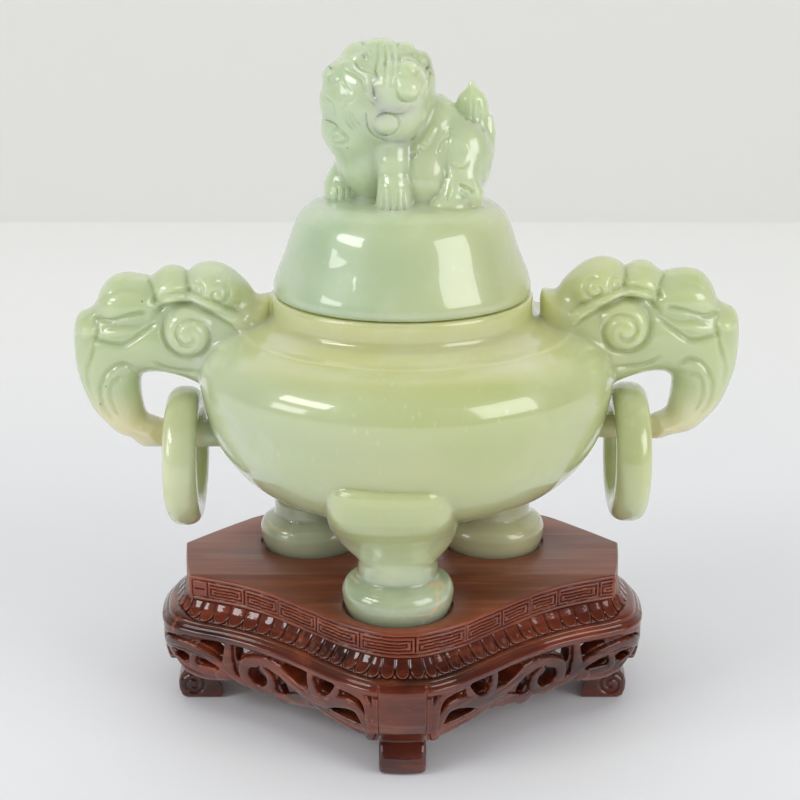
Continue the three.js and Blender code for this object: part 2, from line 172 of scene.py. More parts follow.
def line_dist(u, v, pts, closed=False):
    """Distance in a plane from every (u, v) to a polyline, and how far along it."""
    pts = np.array(pts, float)
    if closed:
        pts = np.vstack([pts, pts[:1]])
    best = np.full(np.broadcast(u, v).shape, 1e9)
    along = np.zeros_like(best)
    s = 0.0
    for a, b in zip(pts[:-1], pts[1:]):
        d = b - a
        L = math.hypot(*d) + 1e-9
        t = np.clip(((u - a[0]) * d[0] + (v - a[1]) * d[1]) / L ** 2, 0, 1)
        q = np.hypot(u - a[0] - t * d[0], v - a[1] - t * d[1])
        m = q < best
        best = np.where(m, q, best)
        along = np.where(m, s + t * L, along)
        s += L
    return best, along / s


def inside(u, v, pts):
    pts = np.array(pts, float)
    w = np.zeros(np.broadcast(u, v).shape, bool)
    for a, b in zip(pts, np.roll(pts, -1, 0)):
        if a[1] == b[1]:
            continue
        c = (v >= min(a[1], b[1])) & (v < max(a[1], b[1]))
        x = a[0] + (v - a[1]) * (b[0] - a[0]) / (b[1] - a[1])
        w ^= c & (u < x)
    return w


def area_dist(u, v, pts):
    """Signed distance in a plane to a closed outline, negative inside."""
    d, _ = line_dist(u, v, pts, closed=True)
    return np.where(inside(u, v, pts), -d, d)


class Turned:
    """A turned solid's field, from its profile of (radius, height) points."""

    def __init__(self, profile, smooth=True, step=0.25):
        p = np.array(profile, float)
        poly = spline(p, 8) if smooth else p
        poly = np.vstack([poly, poly[::-1] * [-1, 1]])
        self.r = np.arange(0, p[:, 0].max() + 8, step)
        self.z = np.arange(p[:, 1].min() - 8, p[:, 1].max() + 8, step)
        u, v = self.r[:, None], self.z[None, :]
        self.F = area_dist(u, v, poly)

    def __call__(self, x, y, z, cx=0.0, cy=0.0):
        r = np.sqrt((x - cx) ** 2 + (y - cy) ** 2)
        r = np.broadcast_to(r, (r.shape[0], r.shape[1], 1))[:, :, 0]
        ri = np.clip(r / (self.r[1] - self.r[0]), 0, len(self.r) - 1.001)
        i = ri.astype(int)
        t = (ri - i)[:, :, None]
        zi = np.clip((np.ravel(z) - self.z[0]) / (self.z[1] - self.z[0]), 0, len(self.z) - 1.001)
        j = zi.astype(int)
        w = zi - j
        G = self.F[:, j] * (1 - w) + self.F[:, j + 1] * w
        return G[i] * (1 - t) + G[i + 1] * t


def sample(f, lo, h, p):
    """Trilinear value of a field at points."""
    q = (p - lo) / h
    n = np.array(f.shape)
    q = np.clip(q, 0, n - 1.001)
    i = q.astype(int)
    t = q - i
    c = {}
    for a in (0, 1):
        for b in (0, 1):
            for g in (0, 1):
                c[a, b, g] = f[i[:, 0] + a, i[:, 1] + b, i[:, 2] + g]
    tx, ty, tz = t.T

    def mix(d, ax):
        return d
    v = 0
    for (a, b, g), val in c.items():
        v = v + val * (tx if a else 1 - tx) * (ty if b else 1 - ty) * (tz if g else 1 - tz)
    return v


def surface(fld):
    """The field's zero surface as quads: points, faces and normals, in millimetres."""
    h = fld.h
    f = np.clip(fld.f, -4 * h, 4 * h)
    g = vdb.FloatGrid(4 * h)
    g.copyFromArray(f)
    p, q = g.convertToQuads(0)
    p = p.astype(float) * h + fld.lo
    tri = p[q]
    vol = np.einsum("ij,ij->", tri[:, 0], np.cross(tri[:, 1], tri[:, 2])) + np.einsum("ij,ij->", tri[:, 0], np.cross(tri[:, 2], tri[:, 3]))
    if vol < 0:
        q = q[:, ::-1]
    e = 0.6 * h
    ax = np.eye(3) * e
    for k in range(3):
        v = sample(f, fld.lo, h, p)
        n = np.stack([sample(f, fld.lo, h, p + a) - sample(f, fld.lo, h, p - a) for a in ax], 1) / (2 * e)
        L2 = np.maximum((n * n).sum(1), 0.05)
        if k < 2:
            step = np.clip(v / L2, -0.4 * h, 0.4 * h)
            p = p - step[:, None] * n
    return p, q, n / np.sqrt(L2)[:, None]


def build(name, p, q, n=None):
    """An object from millimetre points and quads, shaded by the normals given."""
    ob = mesh_from(name, p / 1000.0, q)
    if n is not None:
        ob.data.normals_split_custom_set_from_vertices(n.astype(np.float32))
    return ob


def mesh_of(name, fld):
    return build(name, *surface(fld))


def mesh_from(name, verts, faces, smooth=True):
    me = bpy.data.meshes.new(name)
    if isinstance(faces, np.ndarray) and faces.ndim == 2:
        me.vertices.add(len(verts))
        me.vertices.foreach_set("co", np.ascontiguousarray(verts, np.float32).ravel())
        k = faces.shape[1]
        me.loops.add(faces.size)
        me.loops.foreach_set("vertex_index", np.ascontiguousarray(faces, np.int32).ravel())
        me.polygons.add(len(faces))
        me.polygons.foreach_set("loop_start", np.arange(0, faces.size, k, dtype=np.int32))
        me.update(calc_edges=True)
        me.validate()
    else:
        me.from_pydata([tuple(v) for v in verts], [], [tuple(int(i) for i in f) for f in faces])
        me.validate()
    if smooth:
        me.polygons.foreach_set("use_smooth", np.ones(len(me.polygons), bool))
    ob = bpy.data.objects.new(name, me)
    bpy.context.scene.collection.objects.link(ob)
    return ob

# ------------------------------------------------------------- censer body
bowl_outer = Turned([
    (0, 54), (12, 54.4), (20, 56), (27, 58.3), (33, 60.8), (38, 63.1), (41.6, 65.4), (44.8, 68.5),
    (47.4, 72), (49.6, 76), (51.1, 80.5), (52.1, 85.3), (52.8, 89.6), (52.4, 94), (50.3, 97.9), (46.6, 100.8), (42.0, 102.4), (38, 103.0), (0, 103.2)])
collar = Turned([
    (0, 98.5), (37.4, 98.5), (37.2, 102.0), (35.8, 103.3), (34.2, 104.4), (33.2, 106.0), (33.0, 108.0), (33.0, 110.4), (32.6, 111.2), (31.8, 111.4), (20, 111.4), (0, 111.4)])
bowl_inner = Turned([
    (0, 60.4), (12, 60.8), (20, 61.8), (31, 66), (38, 71), (42.6, 77), (45.6, 86), (42.6, 93.8), (34, 99.3),
    (29, 102.6), (0, 102.6)])
neck_bore = Turned([(0, 98), (28.6, 98), (28, 101), (27.1, 103.4), (27.1, 108), (27.1, 111.4), (27.1, 118), (0, 118)])
foot_solid = Turned([
    (0, 36.8), (12.2, 36.8), (12.8, 37.3), (13.6, 39.6), (13.9, 41.9), (13.8, 43.0), (13.0, 44.6), (11.5, 45.6), (10.2, 46.4),
    (9.9, 47.4), (9.9, 51), (10.0, 54), (9, 60), (0, 61)])
BOWL_X = 1.1

# the knee: its half width across and how far it swells forward, by height
KNEE_Z = [49.5, 51, 52.8, 54.5, 56.4, 58.6, 61, 64, 67, 70, 72.5, 74.4, 75.8, 76.6]
KNEE_W = [8.6, 9.9, 11.6, 13.1, 14.4, 15.4, 15.95, 16.2, 16.3, 16.3, 16.3, 16.1, 15.4, 12.5]
KNEE_D = [8.6, 9.7, 10.4, 11.4, 13.0, 15.0, 17.0, 19.2, 20.9, 22.0, 22.6, 22.6, 22.0, 18.5]


def knee(x, y, z, fx, fy, lean):
    """The swelling over a foot at (fx, fy); lean moves its top across."""
    L = math.hypot(0, 1)
    a = math.atan2(fy, fx)
    ox, oy = math.cos(a), math.sin(a)
    zz = np.clip(z, KNEE_Z[0], KNEE_Z[-1])
    W = np.interp(np.ravel(zz), KNEE_Z, KNEE_W)[None, None, :]
    D = np.interp(np.ravel(zz), KNEE_Z, KNEE_D)[None, None, :]
    k = lean * sstep(50, 62, z)
    px, py = x - fx - k * 1.0, y - fy
    f = px * ox + py * oy
    c = -px * oy + py * ox
    g = np.where(f > 0, f * W / D, f)
    q = 2 + 1.7 * sstep(57, 70, z)
    r = (np.abs(g) ** q + np.abs(c) ** q + 1e-6) ** (1 / q)
    return np.maximum((r - W) * 0.8, np.maximum(KNEE_Z[0] - z, z - KNEE_Z[-1]))


FEET = [(-1.1, -28.0, -1.1), (24.7, 14.25, 0.0), (-24.7, 14.25, 0.0)]


def body_core(F):
    lo = F.lo
    hi = F.lo + F.h * (F.n - 1)
    F.add(lambda x, y, z: bowl_outer(x, y, z, BOWL_X, 0.0), lo, hi, 0, pad=0)
    F.add(lambda x, y, z: collar(x, y, z), lo, hi, 3.4, pad=0)
    for fx, fy, lean in FEET:
        G = Field((fx - 24, fy - 26, 36), (fx + 24, fy + 26, 78), F.h / RES)
        G.add(lambda x, y, z: foot_solid(x, y, z, fx, fy), (fx - 15, fy - 15, 36), (fx + 15, fy + 15, 62), 0, pad=2)
        G.add(lambda x, y, z: knee(x, y, z, fx, fy, lean), (fx - 22, fy - 24, 49), (fx + 22, fy + 24, 77), 0.7, pad=1)
        F.add(lambda x, y, z: sample_grid(G, x, y, z), (fx - 21, fy - 23, 36), (fx + 21, fy + 23, 77), 0.55, pad=1)


def sample_grid(G, x, y, z):
    X, Y, Z = np.broadcast_arrays(x, y, z)
    p = np.stack([X.ravel(), Y.ravel(), Z.ravel()], 1).astype(float)
    return sample(G.f, G.lo, G.h, p).reshape(X.shape)


# Beast-head handle, drawn in its own plane (u outward, v up), the same both sides.
HANDLES = {-1: dict(dx=0.5, dz=0.0, jaw=0.0, bar=73.6, rad=3.65), 1: dict(dx=1.5, dz=1.3, jaw=-1.2, bar=75.4, rad=2.95)}
head_points = [
    (33.4, 110.0), (37.2, 110.6), (39.2, 113.2), (42, 116), (45.5, 118.3), (49.2, 119), (52.6, 118.2),
    (54.6, 116.8), (57, 117.9), (60.4, 117.8), (63.8, 115.4), (65.6, 115.6), (69.8, 116.2), (73.6, 115.3),
    (76.4, 112.3), (78.2, 108.4), (80.6, 106.7), (82.6, 105.6), (83.8, 102.6), (84.1, 97), (83.7, 91.4),
    (82, 85.6), (79.8, 80.6), (77.2, 77.4), (74.2, 74.4), (71.4, 73), (67, 72.0), (63.5, 71.7),
    (62.8, 74.6), (63.6, 77.2), (66.3, 78.8), (67.2, 81.6), (67.6, 86), (67.0, 89.4), (64.6, 90.6), (61, 90.4),
    (56.8, 89.2), (50, 87), (43, 88), (37, 94), (34, 100)]


def relief(u, v):
    """Half thickness of the head over its plane."""
    T = np.full(np.broadcast(u, v).shape, 6.2)

    def dome(cu, cv, ru, rv, top, ang=0.0, sharp=0.9):
        nonlocal T
        c, s = math.cos(math.radians(ang)), math.sin(math.radians(ang))
        a = ((u - cu) * c + (v - cv) * s) / ru
        b = (-(u - cu) * s + (v - cv) * c) / rv
        q = np.sqrt(a * a + b * b)
        lump = top * np.sqrt(np.clip(1 - q * q, 0, 1)) - 30 * np.clip(q - 1, 0, 1)
        T = smax(T, lump, sharp)

    def groove(pts, width, depth, n=8, fade=True):
        nonlocal T
        d, s = line_dist(u, v, spline(pts, n))
        e = np.clip(np.minimum(s, 1 - s) / 0.12, 0.0, 1.0) if fade else 1.0
        T = T - depth * np.exp(-((d / width) ** 2)) * e

    def ridge(pts, width, height, n=8):
        nonlocal T
        d, s = line_dist(u, v, spline(pts, n))
        e = np.clip(np.minimum(s, 1 - s) / 0.12, 0.0, 1.0)
        T = T + height * np.exp(-((d / width) ** 2)) * e

    # masses: neck and jowl, snout, trunk, forehead lobe, ears and horn
    dome(46, 98, 14, 14, 9.6, 0, 3.0)
    dome(64, 99, 17, 11, 8.6, 8, 3.0)
    dome(75.5, 92, 9.4, 16, 8.0, 8, 3.0)
    dome(73, 80, 9, 11, 6.6, 30, 2.0)
    dome(69.5, 108.8, 11.6, 7.4, 8.8, 6, 0.9)        # snout top
    dome(79.4, 102.6, 5.2, 3.6, 7.6, -8, 0.6)        # nose knob
    dome(70.5, 102.6, 9.6, 2.9, 8.7, -8, 0.5)        # lip roll
    dome(58.5, 113.0, 7.2, 5.2, 8.2, -12, 0.6)       # horn root
    dome(47.4, 112.6, 9.0, 7.2, 9.4, 12, 0.7)        # ear
    dome(53.8, 102.3, 9.6, 9.2, 11.3, 0, 0.6)        # cheek
    dome(43, 93.5, 8, 5, 9.8, 25, 1.0)               # jowl
    # brow band and its two grooves
    ridge([(61.5, 108.6), (57.5, 111.0), (52, 110.6), (45, 107.6), (40, 104.4)], 1.5, 1.2)
    groove([(63.4, 106.4), (58.6, 109.6), (52.6, 109.0), (45.6, 106.0), (40.6, 102.6)], 0.55, 1.1)
    groove([(62.0, 110.4), (57.4, 112.8), (51.6, 112.3), (44.4, 109.2), (39.8, 106.2)], 0.55, 1.0)
    # spiral on the cheek
    sp = []
    for i in range(46):
        a = math.radians(150 - i * 17.0)
        r = 7.6 * (1 - i / 46.0) + 0.5
        sp.append((53.6 + r * math.cos(a), 102.3 + r * math.sin(a)))
    groove(sp, 0.62, 1.15, 2)
    # mouth corner, lip and trunk lines
    groove([(61.5, 105.4), (66, 102.2), (70, 99.6), (74, 99.8), (78.8, 101.0)], 0.6, 1.0)
    groove([(63.8, 108.0), (68.4, 107.2), (73.4, 105.6), (78.0, 106.0)], 0.55, 1.1)
    groove([(77.6, 106.2), (77.0, 102.5), (78.2, 98.5), (80.0, 92), (79.4, 86)], 0.55, 0.7)
    groove([(67.4, 92.0), (70.5, 94.4), (74, 93.0), (76.6, 88.6), (76.4, 82.6), (73.8, 78.0)], 0.6, 0.75)
    groove([(70.0, 89.6), (72.2, 90.6), (74.0, 88.4), (74.2, 84.0), (72.4, 80.2)], 0.5, 0.5)
    groove([(63.5, 95.6), (60.2, 93.2), (54.5, 92.2), (48.6, 93.2), (44.6, 96.4), (42.2, 101.0)], 0.6, 0.9)
    # curls on the ear
    for cu, cv, r0 in ((46.2, 112.4, 3.1), (51.4, 113.6, 1.9)):
        c = [(cu + r0 * (1 - i / 26.0) * math.cos(math.radians(60 + i * 20)), cv + r0 * (1 - i / 26.0) * math.sin(math.radians(60 + i * 20))) for i in range(24)]
        groove(c, 0.45, 0.8, 2)
    groove([(64.4, 115.0), (62.4, 112.6), (62.4, 109.6)], 0.6, 1.2)
    groove([(54.6, 117.0), (54.2, 114.6), (53.0, 112.6)], 0.6, 1.2)
    groove([(66, 112.8), (70, 113.2), (74, 111.6), (76.6, 108.8)], 0.5, 0.45)
    return T


class Head:
    """A handle's field, drawn in its own plane and set off to its own place."""

    def __init__(self, side, step=0.2):
        self.side, self.step, self.own = side, step, HANDLES[side]
        self.u = np.arange(28, 92, step)
        self.v = np.arange(64, 126, step)
        u, v = self.u[:, None], self.v[None, :]
        pts = [(a, b + (self.own["jaw"] if 85 < b < 91 and 49 < a < 67.5 else 0)) for a, b in head_points]
        self.D = area_dist(u, v, spline(pts, 5, closed=True))
        self.T = relief(u, v)

    def look(self, A, u, v):
        a = np.clip((u - self.u[0]) / self.step, 0, len(self.u) - 1.001)
        b = np.clip((v - self.v[0]) / self.step, 0, len(self.v) - 1.001)
        i, j = a.astype(int), b.astype(int)
        s, t = a - i, b - j
        return (A[i, j] * (1 - s) * (1 - t) + A[i + 1, j] * s * (1 - t) + A[i, j + 1] * (1 - s) * t + A[i + 1, j + 1] * s * t)

    def __call__(self, x, y, z):
        xx, zz = x[:, 0, :], z[:, 0, :]
        xx, zz = np.broadcast_arrays(xx, zz)
        u = (xx - self.own["dx"]) * self.side
        v = zz - self.own["dz"]
        D = self.look(self.D, u, v)[:, None, :]
        T = self.look(self.T, u, v)[:, None, :]
        return smax(D, (np.abs(y) - T) * 0.86, 6.0) + 0.0


def handles(F, side):
    own = HANDLES[side]
    a, b = (34, 89) if side > 0 else (-88, -34)
    F.add(Head(side), (a, -14, 65), (b, 14, 125), 1.4, pad=0)
    xs = (48, 66) if side > 0 else (-66, -47)
    F.rod([(xs[0], 0, own["bar"]), (xs[1], 0, own["bar"])], own["rad"], 1.6)


def make_body():
    F = Field((-87, -56, 35), (89, 56, 124), 0.42)
    body_core(F)
    for s in (-1, 1):
        handles(F, s)
    F.cut(lambda x, y, z: bowl_inner(x, y, z, BOWL_X, 0.0), (-46, -47, 58), (48, 47, 104), 0, pad=2)
    F.cut(lambda x, y, z: neck_bore(x, y, z), (-30, -30, 97), (30, 30, 122), 0.5, pad=2)
    return mesh_of("censer_body_jade", F)

# ------------------------------------------------------------------- lid
lid_outer = Turned([
    (0, 107.6), (23, 107.6), (25.6, 107.7), (26.3, 108.4), (26.4, 110.6), (27.2, 111.5), (31.2, 111.6), (32.1, 112.0),
    (32.4, 113.0), (32.2, 114.8), (31.4, 117.1), (30.3, 119.8), (29.1, 122.8), (28.1, 125.8), (27.0, 128.8),
    (25.6, 131.4), (23.4, 133.4), (20.4, 134.5), (16.5, 134.9), (9, 135.1), (0, 135.1)])
lid_inner = Turned([
    (0, 100), (23, 100), (23, 107), (23.2, 112), (24, 116.6), (23.4, 121.6), (20.6, 126.2), (14, 128.6), (0, 129.2)])


# the rounded forms that face the front, used to lay shallow lines over them
LION_FORMS = [
    ((-5.8, -1.6, 160.2), (13.9, 11.9, 13.5)), ((-11.2, -1.2, 152.4), (8.4, 9.0, 8.0)),
    ((-0.6, -10.6, 164.4), (6.6, 5.6, 5.6)), ((-2.6, -8.9, 157.2), (6.9, 5.6, 5.6)),
    ((1.2, -14.6, 165.0), (2.7, 2.4, 2.5)), ((14.0, -3.0, 144.5), (8.6, 7.4, 10.5)),
    ((-2.3, -7.6, 141.0), (4.2, 4.4, 12.0)), ((6.5, -1.0, 149.0), (9.5, 8.0, 10.0)),
]


def front_of(x, z):
    """How far forward the lion's rounded forms reach at (x, z)."""
    best = 9.0
    for c, r in LION_FORMS:
        q = 1 - ((x - c[0]) / r[0]) ** 2 - ((z - c[2]) / r[2]) ** 2
        if q > 0:
            best = min(best, c[1] - r[1] * math.sqrt(q))
    return best if best < 9 else -2.0


def over(F, pts, r, k=0.5, cut=True, sink=0.0, n=4):
    """A shallow line (or a raised one) laid over the lion's front, through (x, z) points."""
    p = spline(np.array(pts, float), n)
    q = [(x, front_of(x, z) + sink, z) for x, z in p]
    m = len(q)
    taper = [r * (0.45 + 0.55 * min(1.0, min(i, m - 1 - i) / (0.25 * m))) for i in range(m)]
    F.rod(q, taper, k, cut=cut)


def make_lid():
    F = Field((-35, -35, 104), (35, 35, 177), 0.33)
    lo, hi = (-35, -35, 104), (35, 35, 141)
    F.add(lambda x, y, z: lid_outer(x, y, z), lo, hi, 0, pad=0)
    # --- body, rising behind the head and falling to the rump
    F.ball((6.5, -0.6, 149.0), (9.6, 8.2, 10.4), 2.5)
    F.ball((4.0, 2.4, 144.5), (13.5, 9.4, 12.0), 3)
    F.ball((-8.0, 0.4, 147), (8.5, 8.6, 12.0), 3)
    F.ball((8.2, 1.0, 154.4), (5.6, 6.6, 6.0), 2.5)
    F.ball((5.4, -2.6, 141.0), (7.6, 8.6, 9.0), 3.0)
    F.ball((13.4, -1.0, 145.2), (8.9, 8.6, 10.8), 1.6, (0, 6, 0))
    F.ball((14.2, 7.0, 143.4), (7.6, 6.4, 9.6), 1.6, (0, 6, 0))
    # back line tufts
    for i, (cx, cz) in enumerate(((9.0, 160.2), (10.6, 158.8), (12.2, 157.4))):
        F.rod([(cx - 1.2, 2.4, cz - 2.6), (cx + 0.3, 2.4, cz - 0.9)], [2.6, 1.1], 0.8)
    # --- near foreleg: a straight column with a fluted paw
    F.rod([(-3.0, -4.6, 151), (-2.2, -7.6, 145.5), (-2.1, -8.2, 139.6), (-2.0, -8.6, 134.5)], [5.6, 4.0, 3.75, 4.1], 1.5)
    F.rod([(-2.0, -9.0, 139.6), (-2.0, -9.4, 134.2)], [4.0, 4.6], 0.8)
    for tx in (-4.6, -2.9, -1.2, 0.5):
        w = [math.sqrt(max(q * q - (tx + 2.0) ** 2, 1.0)) for q in (4.15, 4.5, 4.9)]
        F.rod([(tx, -9.1 - w[0], 138.9), (tx * 1.02, -9.3 - w[1], 136.2), (tx * 1.06, -9.5 - w[2], 132.8)], [0.25, 0.45, 0.55], 0.35, cut=True)
    # --- far foreleg: a short square paw at the left
    F.rod([(-9.5, 2.4, 147), (-13.6, 3.0, 140.5), (-14.6, 3.0, 137)], [5.4, 4.4, 4.2], 1.6)
    F.ball((-14.9, 2.6, 137.4), (4.7, 5.0, 5.0), 1.0)
    F.ball((-15.0, 0.6, 136.2), (4.3, 4.2, 3.6), 0.8)
    for tx in (-17.6, -16.0, -14.4, -12.9):
        F.rod([(tx, -2.6, 138.0), (tx, -3.6, 135.6)], [0.3, 0.45], 0.3, cut=True)
    # --- hind leg and paw, folded at the right
    F.rod([(14.2, -6.4, 143.5), (12.4, -8.8, 138.5), (11.4, -9.8, 135.2)], [4.2, 3.3, 3.2], 1.4)
    F.ball((11.6, -10.2, 134.9), (4.6, 3.6, 2.9), 0.9)
    F.rod([(15.2, -7.6, 141.0), (16.8, -7.8, 137.6), (16.2, -7.2, 134.8)], [3.4, 3.0, 2.8], 1.2)
    for tx, ty in ((8.6, -11.9), (10.4, -12.9), (12.2, -13.0)):
        F.rod([(tx + 0.6, ty + 1.8, 136.0), (tx, ty, 134.3)], [1.2, 1.05], 0.35)
    F.ball((12.0, 10.0, 135.0), (6.4, 4.4, 3.4), 1.0, (0, 0, -12))
    F.rod([(11.2, -11.2, 142.2), (11.6, -12.0, 139.6), (10.8, -12.4, 137.2)], 0.4, 0.4, cut=True)
    F.rod([(13.9, -11.0, 140.4), (15.4, -10.9, 139.6), (16.8, -10.4, 138.8)], 0.4, 0.4, cut=True)
    # haunch curl, the fold before it, and the strap over the shoulder
    over(F, [(8.6, 147.9), (9.6, 150.6), (11.8, 152.0), (14.6, 151.4), (16.3, 149.1), (16.2, 146.0), (14.2, 144.3), (12.1, 145.0), (11.6, 147.1), (12.8, 148.5)], 0.42)
    over(F, [(11.3, 153.2), (11.0, 149.0), (10.6, 144.8), (10.9, 141.4)], 0.45)
    over(F, [(7.6, 153.4), (5.8, 150.4), (3.6, 147.6), (1.6, 146.0)], 0.8, cut=False, sink=0.35)
    for t in np.linspace(0.08, 0.92, 8):
        x, z = 7.6 + (1.6 - 7.6) * t, 153.4 + (146.0 - 153.4) * t
        F.rod([(x - 0.5, front_of(x, z) - 0.6, z + 0.5), (x + 0.5, front_of(x, z) - 0.6, z - 0.5)], 0.26, 0.2, cut=True)
    # --- tail: a broad upright leaf with a pointed tip and a lobe down its outer side
    F.rod([(17.2, 0.8, 143), (17.6, 0.6, 150), (17.2, 0.6, 156.5)], [3.6, 3.8, 3.6], 1.2)
    F.ball((17.0, 0.6, 157.6), (4.0, 3.4, 4.6), 0.8)
    F.rod([(17.0, 0.6, 159.6), (16.9, 0.6, 163.3)], [2.5, 0.7], 0.9)
    F.rod([(19.0, 0.6, 141.5), (20.2, 0.4, 147), (20.9, 0.4, 151.2), (21.2, 0.4, 154.6)], [2.6, 2.5, 2.0, 1.1], 0.8)
    for sgn in (-1, 1):
        y = 0.6 + sgn * 4.1
        for pts, r in (([(19.4, y + sgn * 0.2, 143), (19.0, y + sgn * 0.2, 149), (19.4, y - sgn * 0.6, 154), (18.4, y - sgn * 1.0, 159)], 0.42),
                       ([(16.0, y, 149.5), (15.4, y - sgn * 0.1, 154), (15.6, y - sgn * 0.7, 159.5)], 0.36),
                       ([(17.3, y, 150), (17.0, y - sgn * 0.1, 155), (17.0, y - sgn * 1.0, 161)], 0.36)):
            F.rod(spline(pts, 5), r, 0.4, cut=True)
    # --- head and mane: one full round form, its forms low and soft
    F.ball((-5.8, -1.6, 160.2), (13.8, 11.8, 13.4), 1.6)
    F.ball((-11.2, -1.2, 152.4), (8.4, 9.0, 8.0), 2.4)
    F.ball((-0.6, -10.6, 164.4), (6.6, 5.6, 5.6), 2.6)
    F.ball((-2.6, -8.9, 157.2), (6.9, 5.6, 5.6), 3.4)
    F.ball((-1.6, -9.0, 160.6), (5.8, 5.4, 3.6), 2.6)
    # tufts along the outline
    for c, r in (((-11.0, -2.0, 171.0), (2.9, 3.2, 2.3)), ((-5.6, -2.4, 172.4), (3.6, 3.4, 1.9)), ((0.6, -1.6, 171.5), (2.5, 2.8, 1.8)),
                 ((4.4, -0.8, 168.6), (2.6, 3.2, 2.6)), ((6.0, -0.6, 164.6), (1.9, 3.4, 3.4)), ((-16.8, -2.6, 165.4), (2.5, 3.4, 2.6)),
                 ((-18.4, -0.8, 159.2), (1.6, 3.6, 3.2)), ((-17.9, -0.8, 152.6), (1.7, 3.4, 3.0))):
        F.ball(c, r, 1.5)
    # locks round the back of the mane
    hc, hr = np.array((-5.8, -1.6, 160.2)), np.array((13.8, 11.8, 13.4))
    for az in range(112, 250, 21):
        for el in (62, 38, 14, -10, -32):
            a0 = az + (10 if (el // 12) % 2 else 0)
            pts = []
            for t in (0.0, 0.5, 1.0):
                a, e = math.radians(a0 + 9 * t), math.radians(el - 15 * t)
                d = np.array([math.sin(a) * math.cos(e), -math.cos(a) * math.cos(e), math.sin(e)])
                pts.append(hc + d / math.sqrt(((d / hr) ** 2).sum()) + d * 0.1)
            F.rod(pts, 0.5, 0.6, cut=True)
    # --- face, turned a little to the right
    over(F, [(-14.2, 169.0), (-12.0, 168.8), (-9.9, 167.3), (-8.2, 166.3), (-7.8, 164.4), (-7.7, 162.3)], 0.95, 0.8, cut=False, sink=0.35)
    over(F, [(-13.4, 167.6), (-11.4, 166.9), (-9.6, 165.4), (-8.9, 163.0)], 0.5, 0.6)
    over(F, [(-11.9, 170.4), (-11.2, 169.2), (-10.2, 167.9), (-8.6, 167.2), (-7.0, 166.9)], 0.42, 0.4)
    F.ball((-9.8, front_of(-9.8, 170.0) + 0.9, 170.0), (2.3, 1.3, 1.4), 0.9)
    for a, c in (((-9.9, 171.2), (-8.6, 169.8)), ((-9.2, 171.8), (-7.9, 170.4)), ((-8.5, 172.3), (-7.2, 170.9))):
        over(F, [a, ((a[0] + c[0]) / 2, (a[1] + c[1]) / 2 + 0.1), c], 0.28, 0.25)
    for pts in ([(-5.8, 173.1), (-5.8, 170.7), (-6.4, 168.1), (-5.9, 166.2)], [(-4.4, 172.8), (-4.0, 170.3), (-4.2, 168.0), (-4.0, 164.6)],
                [(-2.7, 172.7), (-2.4, 170.3), (-2.5, 168.1), (-2.5, 164.4)], [(-1.1, 172.9), (-0.9, 170.2), (-1.1, 168.1), (-1.0, 167.0)]):
        over(F, pts, 0.4, 0.5)
    # nose at the right of the muzzle, the near eye over it
    F.ball((1.2, front_of(1.2, 164.0) + 1.5, 163.8), (2.7, 1.9, 2.3), 1.0)
    over(F, [(-1.4, 166.2), (-1.6, 163.9), (-0.6, 161.6), (1.4, 160.8), (3.5, 161.8), (4.2, 164.2)], 0.4, 0.4)
    F.ball((1.4, front_of(1.4, 168.6) + 0.8, 168.8), (2.1, 1.3, 1.2), 0.6)
    over(F, [(-0.9, 167.2), (0.9, 166.7), (2.8, 166.9), (3.9, 167.8)], 0.38, 0.4)
    over(F, [(-0.9, 170.4), (0.8, 170.9), (3.0, 170.2), (4.4, 168.6)], 0.4, 0.4)
    # muzzle outline, mouth, the ball in it, the jaw under
    over(F, [(-6.6, 165.9), (-6.7, 163.2), (-6.0, 161.3), (-4.0, 160.0), (-0.6, 159.2), (1.8, 159.2), (3.4, 160.0)], 0.40, 0.4)
    over(F, [(-6.3, 162.6), (-5.4, 161.6), (-3.8, 161.0), (-0.6, 160.3), (1.8, 160.4), (3.2, 161.0)], 0.62, 0.7, cut=False, sink=0.3)
    over(F, [(-7.4, 160.8), (-5.8, 159.2), (-3.0, 158.3), (-0.5, 158.0), (1.6, 158.3)], 0.3, 0.5)
    F.ball((-3.8, front_of(-3.8, 155.5) + 1.1, 155.5), (2.8, 1.5, 2.2), 0.5)
    over(F, [(-6.8, 155.4), (-5.7, 157.5), (-3.5, 158.1), (-1.3, 157.1), (-0.7, 155.1), (-2.0, 153.2), (-4.4, 152.8), (-6.3, 153.9), (-6.8, 155.4)], 0.36, 0.35)
    over(F, [(-8.6, 157.7), (-7.9, 154.1), (-5.8, 152.0), (-2.3, 151.0), (1.2, 150.6), (3.1, 151.8)], 0.32, 0.6)
    over(F, [(-14.7, 158.8), (-13.1, 160.3), (-11.0, 161.3)], 0.34, 0.4)
    for pts in ([(-13.8, 157.6), (-13.3, 155.7), (-11.8, 153.7)], [(-12.8, 157.7), (-12.3, 155.8), (-10.8, 154.3)], [(-11.8, 157.4), (-11.3, 156.0), (-9.9, 155.0)]):
        over(F, pts, 0.3, 0.3)
